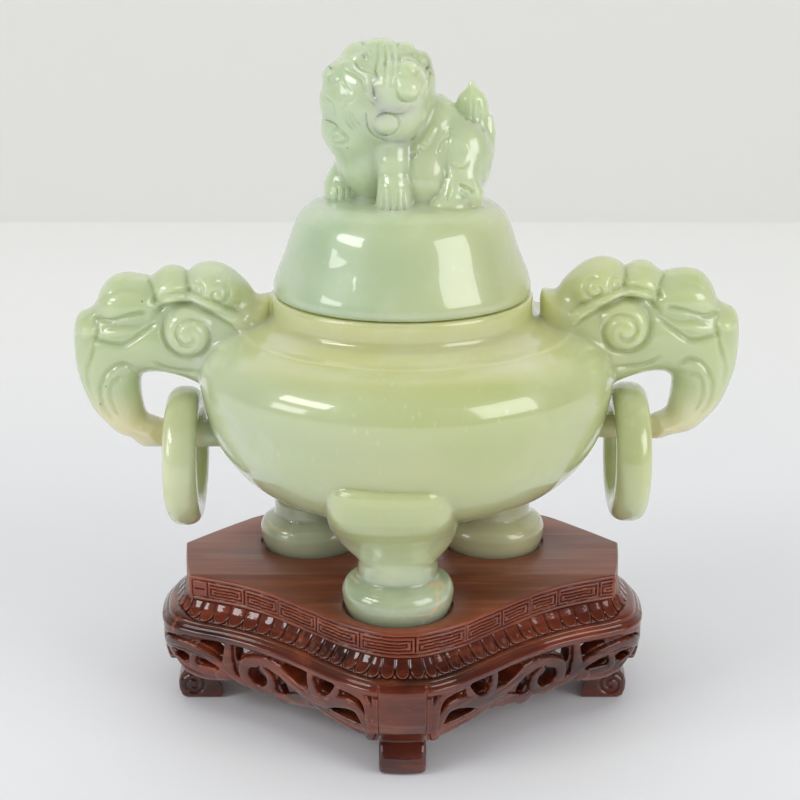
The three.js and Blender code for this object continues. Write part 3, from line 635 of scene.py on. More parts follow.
    for pts in ([(-17.9, 151.3), (-16.5, 153.3), (-14.3, 152.7), (-13.2, 151.3), (-14.6, 149.9), (-16.5, 150.0), (-16.9, 151.2), (-15.5, 151.9)],
                [(-18.5, 166.0), (-18.0, 167.2), (-16.6, 167.2), (-15.4, 166.3), (-15.6, 164.9), (-17.0, 164.3), (-17.8, 165.2), (-17.1, 166.0)],
                [(-12.3, 172.0), (-11.1, 173.2), (-9.3, 173.0), (-8.5, 172.2)], [(-14.9, 167.8), (-14.3, 164.9), (-12.4, 162.6)],
                [(-18.9, 161.0), (-17.0, 159.9), (-16.3, 157.2)], [(-18.6, 155.3), (-16.4, 154.9), (-15.0, 153.7)],
                [(4.9, 170.5), (5.9, 168.3), (5.6, 165.6)], [(6.2, 168.1), (6.6, 165.0), (5.6, 162.6)],
                ):
        over(F, pts, 0.34, 0.55)
    F.cut(lambda x, y, z: lid_inner(x, y, z), (-26, -26, 100), (26, 26, 131), 0, pad=2)
    return mesh_of("lid_jade", F)


# ----------------------------------------------------------------- rings
def make_ring(name, side):
    """A free ring: flattened round section, a little uneven from hand carving."""
    cx, cz, R, tx, tr = (-56.3, 67.4, 14.2, 4.3, 3.95) if side < 0 else (58.4, 68.5, 14.2, 4.5, 3.95)
    n, m = 160, 44
    V, Fc = [], []
    for i in range(n):
        a = 2 * math.pi * i / n
        wob = 1 + 0.012 * math.sin(2 * a + side) + 0.008 * math.sin(5 * a + 2 * side)
        for j in range(m):
            b = 2 * math.pi * j / m
            c, s = math.cos(b), math.sin(b)
            e = 0.82
            dx = tx * wob * math.copysign(abs(s) ** e, s)
            dr = tr * math.copysign(abs(c) ** e, c)
            if dr < 0:
                dr *= 0.97
            r = R + dr
            V.append(((cx + dx) / 1000, r * math.sin(a) / 1000, (cz + r * math.cos(a)) / 1000))
    for i in range(n):
        for j in range(m):
            Fc.append((i * m + j, i * m + (j + 1) % m, ((i + 1) % n) * m + (j + 1) % m, ((i + 1) % n) * m + j))
    Fc = np.array(Fc)
    P = np.array(V)
    t = P[Fc]
    vol = np.einsum("ij,ij->", t[:, 0], np.cross(t[:, 1], t[:, 2]))
    if vol < 0:
        Fc = Fc[:, ::-1]
    return mesh_from(name, P, Fc)

# ------------------------------------------------------------- materials
class Nodes:
    def __init__(self, name):
        self.m = bpy.data.materials.new(name)
        self.m.use_nodes = True
        self.t = self.m.node_tree
        self.t.nodes.clear()
        self.out = self.t.nodes.new("ShaderNodeOutputMaterial")
        self.b = self.t.nodes.new("ShaderNodeBsdfPrincipled")
        self.t.links.new(self.b.outputs[0], self.out.inputs["Surface"])
        self.co = self.t.nodes.new("ShaderNodeTexCoord").outputs["Object"]
        self._xyz = None

    def set(self, **kw):
        for k, v in kw.items():
            self.b.inputs[k.replace("_", " ")].default_value = v
        return self

    def link(self, a, b):
        self.t.links.new(a, b)

    def put(self, socket, v):
        if isinstance(v, (int, float)):
            socket.default_value = v
        elif isinstance(v, (tuple, list)):
            socket.default_value = tuple(v) if len(v) == len(socket.default_value) else tuple(v) + (1.0,)
        else:
            self.link(v, socket)

    def math(self, op, a, b=None, c=None, clamp=False):
        n = self.t.nodes.new("ShaderNodeMath")
        n.operation = op
        n.use_clamp = clamp
        for i, v in enumerate((a, b, c)):
            if v is not None:
                self.put(n.inputs[i], v)
        return n.outputs[0]

    def xyz(self):
        if self._xyz is None:
            n = self.t.nodes.new("ShaderNodeSeparateXYZ")
            self.link(self.co, n.inputs[0])
            self._xyz = n.outputs
        return self._xyz

    def ramp(self, v, lo, hi, smooth=True):
        n = self.t.nodes.new("ShaderNodeMapRange")
        n.interpolation_type = "SMOOTHSTEP" if smooth else "LINEAR"
        self.put(n.inputs["Value"], v)
        n.inputs["From Min"].default_value = lo
        n.inputs["From Max"].default_value = hi
        return n.outputs[0]

    def map(self, scale=(1, 1, 1), loc=(0, 0, 0), rot=(0, 0, 0), src=None):
        n = self.t.nodes.new("ShaderNodeMapping")
        self.link(src or self.co, n.inputs[0])
        n.inputs["Scale"].default_value = scale
        n.inputs["Location"].default_value = loc
        n.inputs["Rotation"].default_value = rot
        return n.outputs[0]

    def noise(self, scale, detail=4, rough=0.5, vec=None, distort=0.0):
        n = self.t.nodes.new("ShaderNodeTexNoise")
        self.link(vec or self.co, n.inputs["Vector"])
        n.inputs["Scale"].default_value = scale
        n.inputs["Detail"].default_value = detail
        n.inputs["Roughness"].default_value = rough
        n.inputs["Distortion"].default_value = distort
        return n.outputs["Fac"]

    def spots(self, scale, vec=None, rnd=1.0):
        n = self.t.nodes.new("ShaderNodeTexVoronoi")
        self.link(vec or self.co, n.inputs["Vector"])
        n.inputs["Scale"].default_value = scale
        n.inputs["Randomness"].default_value = rnd
        return n.outputs["Distance"]

    def mix(self, f, a, b, mode="MIX"):
        n = self.t.nodes.new("ShaderNodeMix")
        n.data_type = "RGBA"
        n.blend_type = mode
        n.clamp_factor = True
        self.put(n.inputs["Factor"], f)
        self.put(n.inputs[6], a)
        self.put(n.inputs[7], b)
        return n.outputs[2]

    def bump(self, height, strength, dist):
        n = self.t.nodes.new("ShaderNodeBump")
        self.link(height, n.inputs["Height"])
        n.inputs["Strength"].default_value = strength
        n.inputs["Distance"].default_value = dist
        return n.outputs[0]


def lin(r, g, b):
    f = lambda c: (c / 255 / 12.92) if c / 255 <= 0.04045 else ((c / 255 + 0.055) / 1.055) ** 2.4
    return (f(r), f(g), f(b), 1.0)


JADE_GAIN = 1.0


def jade(name, kind):
    n = Nodes(name)
    x, y, z = n.xyz()
    g = 0.885
    tone = lambda r, gr, bl: tuple(c * g for c in lin(r, gr, bl)[:3]) + (1.0,)
    green = tone(199, 209, 150)
    pale = tone(208, 215, 166)
    cool = tone(192, 213, 182)
    warm = tone(208, 208, 150)
    honey_with_painted_light = tone(246, 230, 188)
    grey = tone(164, 178, 149)
    big = n.noise(20, 3, 0.5)
    mid = n.noise(52, 3, 0.5, distort=0.3)
    fine = n.noise(420, 4, 0.6)
    col = n.mix(n.ramp(big, 0.34, 0.66), green, pale)
    col = n.mix(n.math("MULTIPLY", n.ramp(mid, 0.42, 0.78), 0.45), col, warm)
    if kind == "body":
        # cooler at the left of the bowl, warm round the neck, honey in the bars with painted light on their shaded
        # side, grey clear feet
        col = n.mix(n.math("MULTIPLY", n.ramp(x, 0.016, -0.055), 0.55), col, cool)
        collar = n.math("MULTIPLY", n.ramp(z, 0.0965, 0.1045), n.ramp(n.math("ABSOLUTE", x), 0.046, 0.034))
        col = n.mix(n.math("MULTIPLY", collar, 0.70), col, tone(218, 218, 148))
        under = n.ramp(z, 0.074, 0.052)
        col = n.mix(n.math("MULTIPLY", under, 0.30), col, tone(188, 200, 146))
        heads = n.ramp(n.math("ABSOLUTE", x), 0.050, 0.066)
        col = n.mix(n.math("MULTIPLY", heads, 0.55), col, tone(200, 214, 168))
        # painted light: the bars get a brighter honey than their own colour, standing in for light on their shaded side
        bars = n.math("MULTIPLY", n.ramp(z, 0.090, 0.074), n.ramp(n.math("ABSOLUTE", x), 0.049, 0.056))
        col = n.mix(n.math("MULTIPLY", bars, 0.75), col, honey_with_painted_light)
        feet = n.ramp(z, 0.055, 0.045)
        col = n.mix(n.math("MULTIPLY", feet, 0.85), col, grey)
        back = n.math("MULTIPLY", feet, n.ramp(y, -0.006, 0.004))
        col = n.mix(n.math("MULTIPLY", back, 0.45), col, tone(196, 196, 164))
        col = n.mix(n.math("MULTIPLY", n.math("MULTIPLY", back, n.ramp(x, 0.0, 0.015)), 0.60), col, tone(234, 230, 182))
    elif kind == "lid":
        col = n.mix(0.45, col, tone(210, 221, 184))
        col = n.mix(n.math("MULTIPLY", n.ramp(x, 0.018, -0.024), 0.80), col, tone(186, 212, 180))
        col = n.mix(n.math("MULTIPLY", n.ramp(x, 0.012, 0.030), 0.50), col, tone(196, 204, 146))
        top = n.ramp(z, 0.1335, 0.139)
        col = n.mix(n.math("MULTIPLY", top, 0.65), col, tone(204, 222, 184))
        amber = n.math("MULTIPLY", top, n.math("MULTIPLY", n.ramp(x, -0.002, 0.006), n.ramp(x, 0.013, 0.009)))
        col = n.mix(n.math("MULTIPLY", amber, 0.20), col, tone(214, 208, 158))
    else:
        col = n.mix(0.35, col, tone(206, 210, 168))
    # cloudy milk, then fine pale threads, tan scars in the feet, dark specks
    cloud = n.ramp(n.noise(34, 4, 0.55, distort=0.4), 0.46, 0.74)
    col = n.mix(n.math("MULTIPLY", cloud, 0.55), col, tone(228, 235, 206))
    thread = n.math("ABSOLUTE", n.math("SUBTRACT", n.noise(58, 5, 0.6, vec=n.map((1, 1, 2.2), rot=(0.4, 0.3, 0.2)), distort=0.6), 0.5))
    thread = n.math("MULTIPLY", n.ramp(thread, 0.012, 0.0), n.ramp(n.noise(26, 2), 0.56, 0.72))
    col = n.mix(n.math("MULTIPLY", thread, 0.12), col, tone(230, 236, 212))
    flake = n.math("MULTIPLY", n.ramp(n.spots(420, vec=n.map((1, 0.8, 0.6), rot=(0.5, 0.9, 0))), 0.27, 0.08), n.ramp(n.noise(44, 2), 0.50, 0.66))
    col = n.mix(n.math("MULTIPLY", flake, 0.32), col, tone(230, 236, 212))
    if kind == "body":
        scar = n.math("ABSOLUTE", n.math("SUBTRACT", n.noise(70, 2, 0.5, vec=n.map((0.5, 0.5, 2.4), rot=(0.2, -0.5, 0.0)), distort=0.4), 0.5))
        scar = n.math("MULTIPLY", n.math("MULTIPLY", n.ramp(scar, 0.030, 0.008), feet), n.ramp(n.noise(80, 2), 0.52, 0.60))
        col = n.mix(n.math("MULTIPLY", scar, 0.70), col, tone(226, 208, 164))
    speck = n.math("MULTIPLY", n.ramp(n.spots(150), 0.050, 0.026), n.ramp(n.noise(26, 1), 0.54, 0.60))
    col = n.mix(n.math("MULTIPLY", speck, 0.8), col, lin(84, 88, 64))
    n.put(n.b.inputs["Base Color"], col)
    n.set(IOR=1.60, Subsurface_Weight=0.95, Subsurface_Radius=(1.0, 1.0, 0.62), Subsurface_Scale=0.0075,
          Coat_Weight=1.0, Coat_Roughness=0.035, Coat_IOR=1.58)
    n.put(n.b.inputs["Roughness"], n.math("ADD", n.math("MULTIPLY", n.ramp(mid, 0.3, 0.75), 0.10), 0.30))
    h = n.math("ADD", n.math("MULTIPLY", n.noise(150, 2, 0.5), 0.8), n.math("MULTIPLY", fine, 0.08))
    n.put(n.b.inputs["Normal"], n.bump(h, 0.3, 0.0003))
    n.put(n.b.inputs["Coat Normal"], n.bump(n.noise(95, 2, 0.5), 0.22, 0.0003))
    return n.m


def wood(name, kind):
    n = Nodes(name)
    x, y, z = n.xyz()
    top = kind == "top"
    stretch = n.map((26, 300, 300), rot=(0, 0, 0.02)) if top else n.map((60, 60, 300))
    grain = n.noise(1.0, 6, 0.62, vec=stretch, distort=0.35)
    pore = n.noise(1.0, 3, 0.7, vec=n.map((110, 2200, 2200)) if top else n.map((700, 700, 2600)))
    band = n.noise(1.0, 3, 0.5, vec=n.map((6, 70, 70)) if top else n.map((22, 22, 90)))
    if top:
        dark, mid_, light = lin(112, 54, 35), lin(148, 79, 53), lin(178, 106, 74)
    elif kind == "edge":
        dark, mid_, light = lin(84, 30, 18), lin(128, 56, 34), lin(164, 86, 54)
    elif kind == "pin":
        dark, mid_, light = lin(120, 84, 52), lin(150, 110, 72), lin(178, 138, 96)
    else:
        dark, mid_, light = lin(50, 14, 7), lin(104, 40, 21), lin(152, 70, 36)
    col = n.mix(n.ramp(band, 0.35, 0.65), dark, mid_)
    col = n.mix(n.math("MULTIPLY", n.ramp(grain, 0.44, 0.74), 0.45 if top else 0.7), col, light)
    col = n.mix(n.math("MULTIPLY", n.ramp(pore, 0.58, 0.74), 0.32), col, lin(44, 18, 12))
    if kind == "carved":
        # darker towards the bottom, so the toes are almost black
        col = n.mix(n.math("MULTIPLY", n.ramp(n.xyz()[2], 0.0105, 0.0070), 0.50), col, lin(48, 16, 10))
    if kind in ("edge", "carved"):
        # painted shade darkens the hollows and a painted highlight lightens the ridges
        g = n.t.nodes.new("ShaderNodeNewGeometry").outputs["Pointiness"]
        col = n.mix(n.ramp(g, 0.50, 0.43), col, lin(22, 6, 5))
        col = n.mix(n.math("MULTIPLY", n.ramp(g, 0.515, 0.57), 0.55), col, lin(150, 78, 44))
    n.put(n.b.inputs["Base Color"], col)
    if kind == "pin":
        n.set(IOR=1.45, Roughness=0.62)
        n.put(n.b.inputs["Normal"], n.bump(grain, 0.3, 0.00012))
    elif top:
        n.set(IOR=1.5, Coat_Weight=0.25, Coat_Roughness=0.24, Coat_IOR=1.5)
        n.put(n.b.inputs["Roughness"], n.math("ADD", n.math("MULTIPLY", grain, 0.22), 0.30))
        n.put(n.b.inputs["Normal"], n.bump(n.math("ADD", grain, n.math("MULTIPLY", pore, 0.6)), 0.30, 0.00012))
    elif kind == "edge":
        n.set(IOR=1.5, Coat_Weight=0.35, Coat_Roughness=0.18, Coat_IOR=1.5)
        n.put(n.b.inputs["Roughness"], n.math("ADD", n.math("MULTIPLY", grain, 0.25), 0.24))
        n.put(n.b.inputs["Normal"], n.bump(n.math("ADD", grain, n.math("MULTIPLY", pore, 0.6)), 0.35, 0.00015))
    else:
        n.set(IOR=1.45, Coat_Weight=1.0, Coat_Roughness=0.05, Coat_IOR=1.54)
        n.b.inputs["Specular IOR Level"].default_value = 0.25
        n.put(n.b.inputs["Roughness"], n.math("ADD", n.math("MULTIPLY", grain, 0.2), 0.34))
        n.put(n.b.inputs["Normal"], n.bump(n.noise(900, 3, 0.5), 0.25, 0.0002))
        n.put(n.b.inputs["Coat Normal"], n.bump(n.noise(350, 3, 0.5), 0.22, 0.0003))
    return n.m


def plain(name, color, rough, emit=0.0):
    n = Nodes(name)
    f = n.noise(9, 5, 0.6)
    col = n.mix(n.math("MULTIPLY", f, 0.10), color, tuple(c * 0.93 for c in color[:3]) + (1,))
    n.put(n.b.inputs["Base Color"], col)
    n.set(Roughness=rough)
    n.b.inputs["Specular IOR Level"].default_value = 0.15
    return n.m


# ----------------------------------------------------------------- stage
def floor_paper():
    n = Nodes("stage_floor_paper")
    x, y, z = n.xyz()
    # painted light: the paper is painted lighter towards the back, standing in for how the light falls across the floor
    n.put(n.b.inputs["Base Color"], n.mix(n.ramp(y, 0.02, 0.50), lin(236, 237, 241), lin(250, 251, 249)))
    n.set(IOR=1.45, Roughness=0.75)
    return n.m


def stage():
    def quad(name, pts, mat):
        ob = mesh_from(name, pts, [(0, 1, 2, 3)], smooth=False)
        ob.data.materials.append(mat)
        return ob
    quad("stage_floor", [(-3, -2, 0), (3, -2, 0), (3, 0.63, 0), (-3, 0.63, 0)], floor_paper())
    quad("stage_wall", [(-3, 0.63, 0), (3, 0.63, 0), (3, 0.63, 2.4), (-3, 0.63, 2.4)], plain("stage_wall_paper", lin(226, 226, 223), 0.9))

    cam = bpy.data.cameras.new("camera")
    cam.lens = 74.9
    cam.sensor_width = 36
    cam.clip_start = 0.01
    ob = bpy.data.objects.new("camera", cam)
    ob.location = (-0.0006, -0.40884, 0.21281)
    ob.rotation_euler = (math.radians(90 - 17.6818), 0, 0)
    bpy.context.scene.collection.objects.link(ob)
    bpy.context.scene.camera = ob

    def area(name, loc, aim, sx, sy, power, col=(1, 1, 1)):
        li = bpy.data.lights.new(name, "AREA")
        li.shape = "RECTANGLE"
        li.size, li.size_y = sx, sy
        li.energy = power
        li.color = col
        o = bpy.data.objects.new(name, li)
        o.location = loc
        d = Vector(aim) - Vector(loc)
        o.rotation_euler = d.to_track_quat("-Z", "Y").to_euler()
        bpy.context.scene.collection.objects.link(o)

    area("softbox_left_high", (-0.93, -0.50, 0.80), (0, 0, 0.10), 0.62, 0.26, 3.6)
    area("softbox_left_low", (-1.0, -0.46, 0.37), (0, 0, 0.09), 0.42, 0.22, 1.3)
    area("softbox_right", (0.90, -0.62, 0.56), (0, 0, 0.09), 0.72, 0.62, 4.8)
    area("softbox_top", (0.0, -0.1, 1.35), (0, 0, 0.05), 1.0, 0.8, 3.0)
    area("front_fill", (0.0, -1.5, 0.9), (0, 0, 0.08), 1.6, 1.0, 4.4)
    for name in ("softbox_top", "front_fill"):
        bpy.data.objects[name].visible_glossy = False
    w = bpy.data.worlds.new("studio")
    w.cycles_visibility.glossy = False
    w.use_nodes = True
    w.node_tree.nodes["Background"].inputs[0].default_value = (1, 1, 1, 1)
    w.node_tree.nodes["Background"].inputs[1].default_value = 0.43
    bpy.context.scene.world = w
    bpy.context.scene.view_settings.view_transform = "Standard"

# ----------------------------------------------------------------- stand
FRAME_HALF = [
    (0, -50.5), (7, -49.6), (12, -47), (17, -43), (23, -37.5), (30, -31), (38, -25), (46, -20.5), (54, -17),
    (59.5, -13.5), (62.8, -8.5), (64, 0), (63.6, 8), (61.5, 15), (57, 22), (50, 30), (42, 37), (32, 43.5),
    (20, 48), (10, 50), (0, 50.5)]
BOARD_FRONT = [(0, -45.4), (5, -44.7), (10, -42.3), (15.4, -38.6), (21.3, -33), (29.5, -25.4), (35.8, -20.2), (43.6, -15.4), (55.4, -10.4)]
BOARD_SIDE = [(55.4, -10.4), (57.4, 0), (58.8, 12)]
BOARD_BACK = [(58.8, 12), (52, 20), (44.6, 28.1), (40.3, 32), (30, 38.5), (20, 42.5), (10, 44.8), (0, 45.5)]
FRAME_TOP, PETAL_TOP, BOARD_TOP, LEG_HALF = 26.4, 31.4, 38.0, 5.85
LEGS = [("front", 0, 50.5), ("right", 90, 64.0), ("back", 180, 50.5), ("left", 270, 64.0)]


class Track:
    """The frame's outline seen from above, by length along it from the front middle."""

    def __init__(self, half):
        p = np.array(half, float)
        c = spline(np.vstack([p, p[1:-1][::-1] * [-1, 1]]), 40, closed=True)
        d = np.diff(np.vstack([c, c[:1]]), axis=0)
        self.s = np.concatenate([[0], np.cumsum(np.hypot(*d.T))])
        self.len = self.s[-1]
        self.c = np.vstack([c, c[:1]])
        t = d + np.roll(d, 1, 0)
        t = t / np.hypot(*t.T)[:, None]
        a = np.unwrap(np.arctan2(t[:, 1], t[:, 0]))
        a = np.append(a, a[0] + 2 * math.pi)
        self.a = a
        self.k = np.gradient(a, self.s)

    def at(self, s):
        s = np.mod(s, self.len)
        p = np.stack([np.interp(s, self.s, self.c[:, i]) for i in (0, 1)], -1)
        a = np.interp(s, self.s, self.a)
        return p, np.stack([np.cos(a), np.sin(a)], -1), np.interp(s, self.s, self.k)

    def put(self, s, n):
        p, t, _ = self.at(s)
        return p[..., 0] + t[..., 1] * n, p[..., 1] - t[..., 0] * n

    def near(self, x, y):
        return self.s[np.argmin(np.hypot(self.c[:, 0] - x, self.c[:, 1] - y))]


TRACK = Track(FRAME_HALF)

# One apron, u along it from the middle of the front leg. Openings between the vines:
OPENINGS = [
    [(9.6, 17.6), (9.7, 20.2), (11.2, 22.1), (14, 22.7), (16.8, 22.4), (17.7, 21.5), (16.6, 20.9), (14, 20.9), (11.6, 20.0)],
    [(20.2, 22.6), (23, 22.7), (25.6, 22.1), (25.7, 20.4), (24.2, 19.2), (21.8, 19.3), (20.2, 20.6)],
    [(10.9, 13.8), (12.2, 15.8), (14, 17.3), (17, 17.5), (20, 16.6), (22.6, 15.2), (20.6, 14.6), (17, 14.5), (13.6, 14.1)],
    [(28.6, 20.2), (28.5, 22.2), (31.5, 22.8), (36, 22.5), (38, 22.0), (36.4, 20.4), (32.5, 18.8), (29.8, 19.0)],
    [(37.2, 13.8), (37.4, 15.6), (38.3, 17.2), (40.2, 18.0), (40.9, 16.6), (40.5, 14.6), (39.6, 13.2), (38.2, 12.9)],
    [(46.5 + 2.9 * math.cos(a), 16 + 2.9 * math.sin(a)) for a in np.arange(0, 6.2, 0.52)],
    [(47.8, 22.7), (52.6, 22.8), (53.7, 21), (53.4, 18.7), (52.4, 18.4), (51.2, 20.3), (49.0, 21.8)],
    [(56.5, 22.6), (60, 22.8), (63.4, 22.6), (63.8, 21.4), (60.4, 20.3), (58, 18.9), (56.5, 19.4)],
    [(57.6, 15.5), (59.4, 16.6), (62, 17.3), (64.6, 17.2), (65, 15.7), (62, 14.7), (59.6, 14.6)],
    [(67.6, 16.6), (69.6, 17.6), (72.2, 17.4), (72.8, 16.0), (70.4, 15.0), (68.4, 15.2)],
]
LOW_EDGE = [(4, 9.6), (7.8, 9.7), (10.2, 10.1), (14, 10.8), (17.8, 11.4), (22.2, 11.9), (26, 12.2), (29.4, 12.0), (33.2, 11.1), (36.6, 10.7),
            (38.6, 9.7), (40.6, 9.3), (42.2, 10.2), (43.2, 11.0), (46.4, 10.4), (50.2, 10.7), (53.6, 11.5), (55.4, 12.4), (56.6, 11.5),
            (59, 10.8), (62, 10.2), (66.8, 10.1), (69.6, 11.4), (71.6, 13.4), (73.4, 14.8), (76.4, 14.2), (78.6, 12.4), (82, 11.2)]
# vines and leaves: middle line, half widths, height of the ridge, how round it is
VINES = [
    ([(9.4, 12.2), (13.6, 12.5), (18, 12.9), (22.4, 13.7), (26.6, 14.8), (30.6, 15.8)], [1.5, 1.5, 1.4, 1.4, 1.3, 0.9], -0.45, 0.75),
    ([(30, 14.4), (33.6, 13.1), (37.2, 11.9), (40.2, 11.0), (42, 12.0)], [1.5, 1.6, 1.4, 1.7, 1.1], -0.35, 0.8),
    ([(10.2, 13.4), (10.4, 16.2), (12.0, 18.8), (15.2, 19.4), (19, 18.2), (23, 17.0), (27, 16.9), (31, 17.3), (34.8, 18.5), (38.4, 20.2), (42.4, 20.9),
      (46.5, 20.3), (49.7, 18.8), (50.8, 16), (49.8, 13.3), (47.0, 11.8), (44, 12.4), (42.2, 14.8), (42.4, 17.4), (44.2, 19.4)],
     [0.8, 1.0, 1.25, 1.35, 1.4, 1.6, 1.75, 1.7, 1.6, 1.5, 1.4, 1.4, 1.4, 1.35, 1.35, 1.35, 1.25, 1.15, 1.0, 0.7], 0.05, 0.85),
    ([(18.0, 23.2), (18.6, 21.6), (19.6, 20.2), (21.4, 18.8)], [0.8, 0.9, 0.9, 0.7], -0.2, 0.6),
    ([(27.4, 23.2), (27.6, 21.4), (26.8, 19.6), (25.2, 18.2)], [0.9, 1.1, 1.2, 0.9], 0.0, 0.7),
    ([(54.9, 23.2), (55.2, 20.8), (55.4, 18.0), (54.9, 15.2), (53.4, 13.4)], [0.8, 1.0, 1.35, 1.2, 0.8], -0.05, 0.7),
    ([(50.6, 12.4), (54, 13.8), (57.4, 16.4), (60.8, 18.5), (65, 19.6), (69.6, 20.0), (74, 19.6), (78, 18.0)], [0.9, 1.1, 1.15, 1.2, 1.3, 1.35, 1.4, 1.2], 0.05, 0.8),
    ([(57.6, 12.9), (61.4, 12.6), (65.6, 12.7), (69.6, 13.8), (72.6, 15.8), (75.4, 17.4)], [1.5, 1.9, 2.0, 1.8, 1.3, 1.0], -0.3, 0.85),
    ([(57.2, 13.2), (57.9, 13.3)], [1.5, 1.5], 0.1, 0.9),
    ([(65.6, 18.2), (66.2, 16.4), (66.2, 14.6)], [0.9, 0.9, 1.0], -0.2, 0.6),
    ([(9.3, 10.8), (8.6, 13), (8.5, 16.8), (8.8, 19.9), (10.2, 22.3), (13, 23.5), (18, 23.8)], [1.1, 1.05, 1.0, 1.0, 1.05, 1.1, 0.9], 0.12, 0.75),
    ([(76.9, 12.6), (77.8, 14.8), (78.0, 17.6), (77.7, 20.4), (76.2, 22.5), (73, 23.5), (69, 23.8)], [1.1, 1.0, 1.0, 1.0, 1.05, 1.0, 0.8], 0.08, 0.75),
]
CREASES = [
    ([(11, 12.2), (16, 12.6), (21, 13.2), (26, 14.6)], 0.28, 0.30),
    ([(24, 17.4), (28, 17.6), (32, 18.0), (35.6, 19.3), (39, 20.9)], 0.30, 0.30),
    ([(59.6, 12.4), (64, 12.2), (68.4, 13.2), (71.6, 15.0)], 0.32, 0.35),
    ([(60, 17.7), (65, 19.0), (70, 19.4), (75, 18.6)], 0.28, 0.3),
]
# the frame's own section: a bead at the rail, the ground of the carving below it
SECTION = np.array([
    (8, -4.0), (9.4, -3.4), (12, -2.9), (16, -1.9), (19, -1.45), (22.2, -1.3), (22.9, -1.1), (23.25, -0.35), (23.7, 0.02), (24.3, 0.18),
    (24.9, 0.05), (25.35, -0.42), (25.6, -0.72), (25.8, -0.80), (26.1, -1.05), (26.4, -1.6), (27, -2.6)])
FACE = np.array([(8, -3.0), (9.4, -2.6), (12, -1.6), (16, -0.6), (19, -0.12), (23, 0.0), (27, 0.0)])  # where the ridges rise to


def apron_field(s0, sign, ratio):
    F = Field((5.0, 8.6, -7.6), (81.0, 26.9, 1.0), 0.25)
    U, Z = np.meshgrid(F.ax[0].astype(float), F.ax[1].astype(float), indexing="ij")
    wob = 0.10 * np.sin(U * 1.9 + Z * 0.7) + 0.07 * np.sin(U * 0.83 - Z * 2.1 + 1.0)
    D = np.full(U.shape, 9.0)
    for o in OPENINGS:
        o = spline(o, 5, closed=True)
        m = (U > o[:, 0].min() - 3) & (U < o[:, 0].max() + 3)
        i = np.where(m.any(1))[0]
        sl = slice(i[0], i[-1] + 1)
        D[sl] = np.minimum(D[sl], area_dist(U[sl], Z[sl], o) + 0.35)
    e = spline(LOW_EDGE, 6)
    low = Z - np.interp(U, e[:, 0], e[:, 1])
    slope = np.gradient(np.interp(F.ax[0], e[:, 0], e[:, 1]), F.ax[0])[:, None]
    D = np.minimum(D, low / np.sqrt(1 + slope ** 2)) + 0.5 * wob
    ground = np.interp(Z, SECTION[:, 0], SECTION[:, 1])
    face = np.interp(Z, FACE[:, 0], FACE[:, 1])
    rel = ground.copy()
    for pts, w, top, crown in VINES:
        q = spline(pts, 6)
        m = (F.ax[0] > q[:, 0].min() - 2.5) & (F.ax[0] < q[:, 0].max() + 2.5)
        i = np.where(m)[0]
        sl = slice(i[0], i[-1] + 1)
        d, al = line_dist(U[sl], Z[sl] + 0.5 * wob[sl], q)
        cs = np.concatenate([[0], np.cumsum(np.hypot(*np.diff(np.array(pts, float), axis=0).T))])
        ww = 1.26 * np.interp(al, cs / cs[-1], w)
        r = np.clip(d / ww, 0, 1)
        hgt = face[sl] + top - 0.85 * crown * (1 - np.sqrt(1 - r ** 3 * 0.98))
        rel[sl] = np.where(d < ww, np.maximum(rel[sl], hgt), rel[sl])
    for pts, w, dep in CREASES:
        d, al = line_dist(U, Z, spline(pts, 6))
        rel -= dep * np.exp(-(d / w) ** 2) * np.sin(math.pi * np.clip(al, 0, 1)) ** 0.5
    flush = np.maximum(sstep(8.3, 7.5, U), sstep(78.2, 79.0, U)) * sstep(11.5, 13.0, Z) * sstep(23.2, 22.6, Z)
    rel = rel * (1 - flush) + (face - 0.12) * flush
    n = F.ax[2][None, None, :].astype(float)
    z = F.ax[1][None, :, None].astype(float)
    f = n - rel[:, :, None]
    f = smax(f, -D[:, :, None], 0.55)
    back = np.interp(z, [8, 17, 27], [-7.2, -5.4, -6.2])
    f = smax(f, back - n, 0.6)
    f = smax(f, z - FRAME_TOP + 0.0 * n, 0.15)
    X, Y = TRACK.put(s0 + sign * ratio * F.ax[0].astype(float)[:, None], F.ax[2].astype(float)[None, :])
    f = smax(f, (LEG_HALF + 0.05 - X)[:, None, :], 0.12)
    f = smax(f, (LEG_HALF + 0.05 - np.abs(Y))[:, None, :], 0.12)
    F.f = f.astype(np.float32)
    return F


def make_aprons():
    out = []
    front, side, back = 0.0, TRACK.near(64, 0), TRACK.near(0, 50.5)
    for end, s0, sign, ratio in (("front", front, 1, 1.0), ("back", back, -1, (back - side) / side)):
        p, q, n = surface(apron_field(s0, sign, ratio))
        s = s0 + sign * ratio * p[:, 0]
        P, T, K = TRACK.at(s)
        N = np.stack([T[:, 1], -T[:, 0]], 1)
        xyz = np.column_stack([P + N * p[:, 2:3], p[:, 1]])
        gs = sign * n[:, 0:1] / (ratio * np.maximum(1 + K * p[:, 2], 0.3))[:, None]
        nor = np.column_stack([gs * T + n[:, 2:3] * N, n[:, 1]])
        nor /= np.linalg.norm(nor, axis=1)[:, None]
        if sign < 0:
            q = q[:, ::-1]
        out.append((build(f"apron_{end}_right_carving", xyz, q, nor), f"apron_{end}_right"))
        m = np.array([-1.0, 1, 1])
        out.append((build(f"apron_{end}_left_carving", xyz * m, q[:, ::-1], nor * m), f"apron_{end}_left"))
    return out


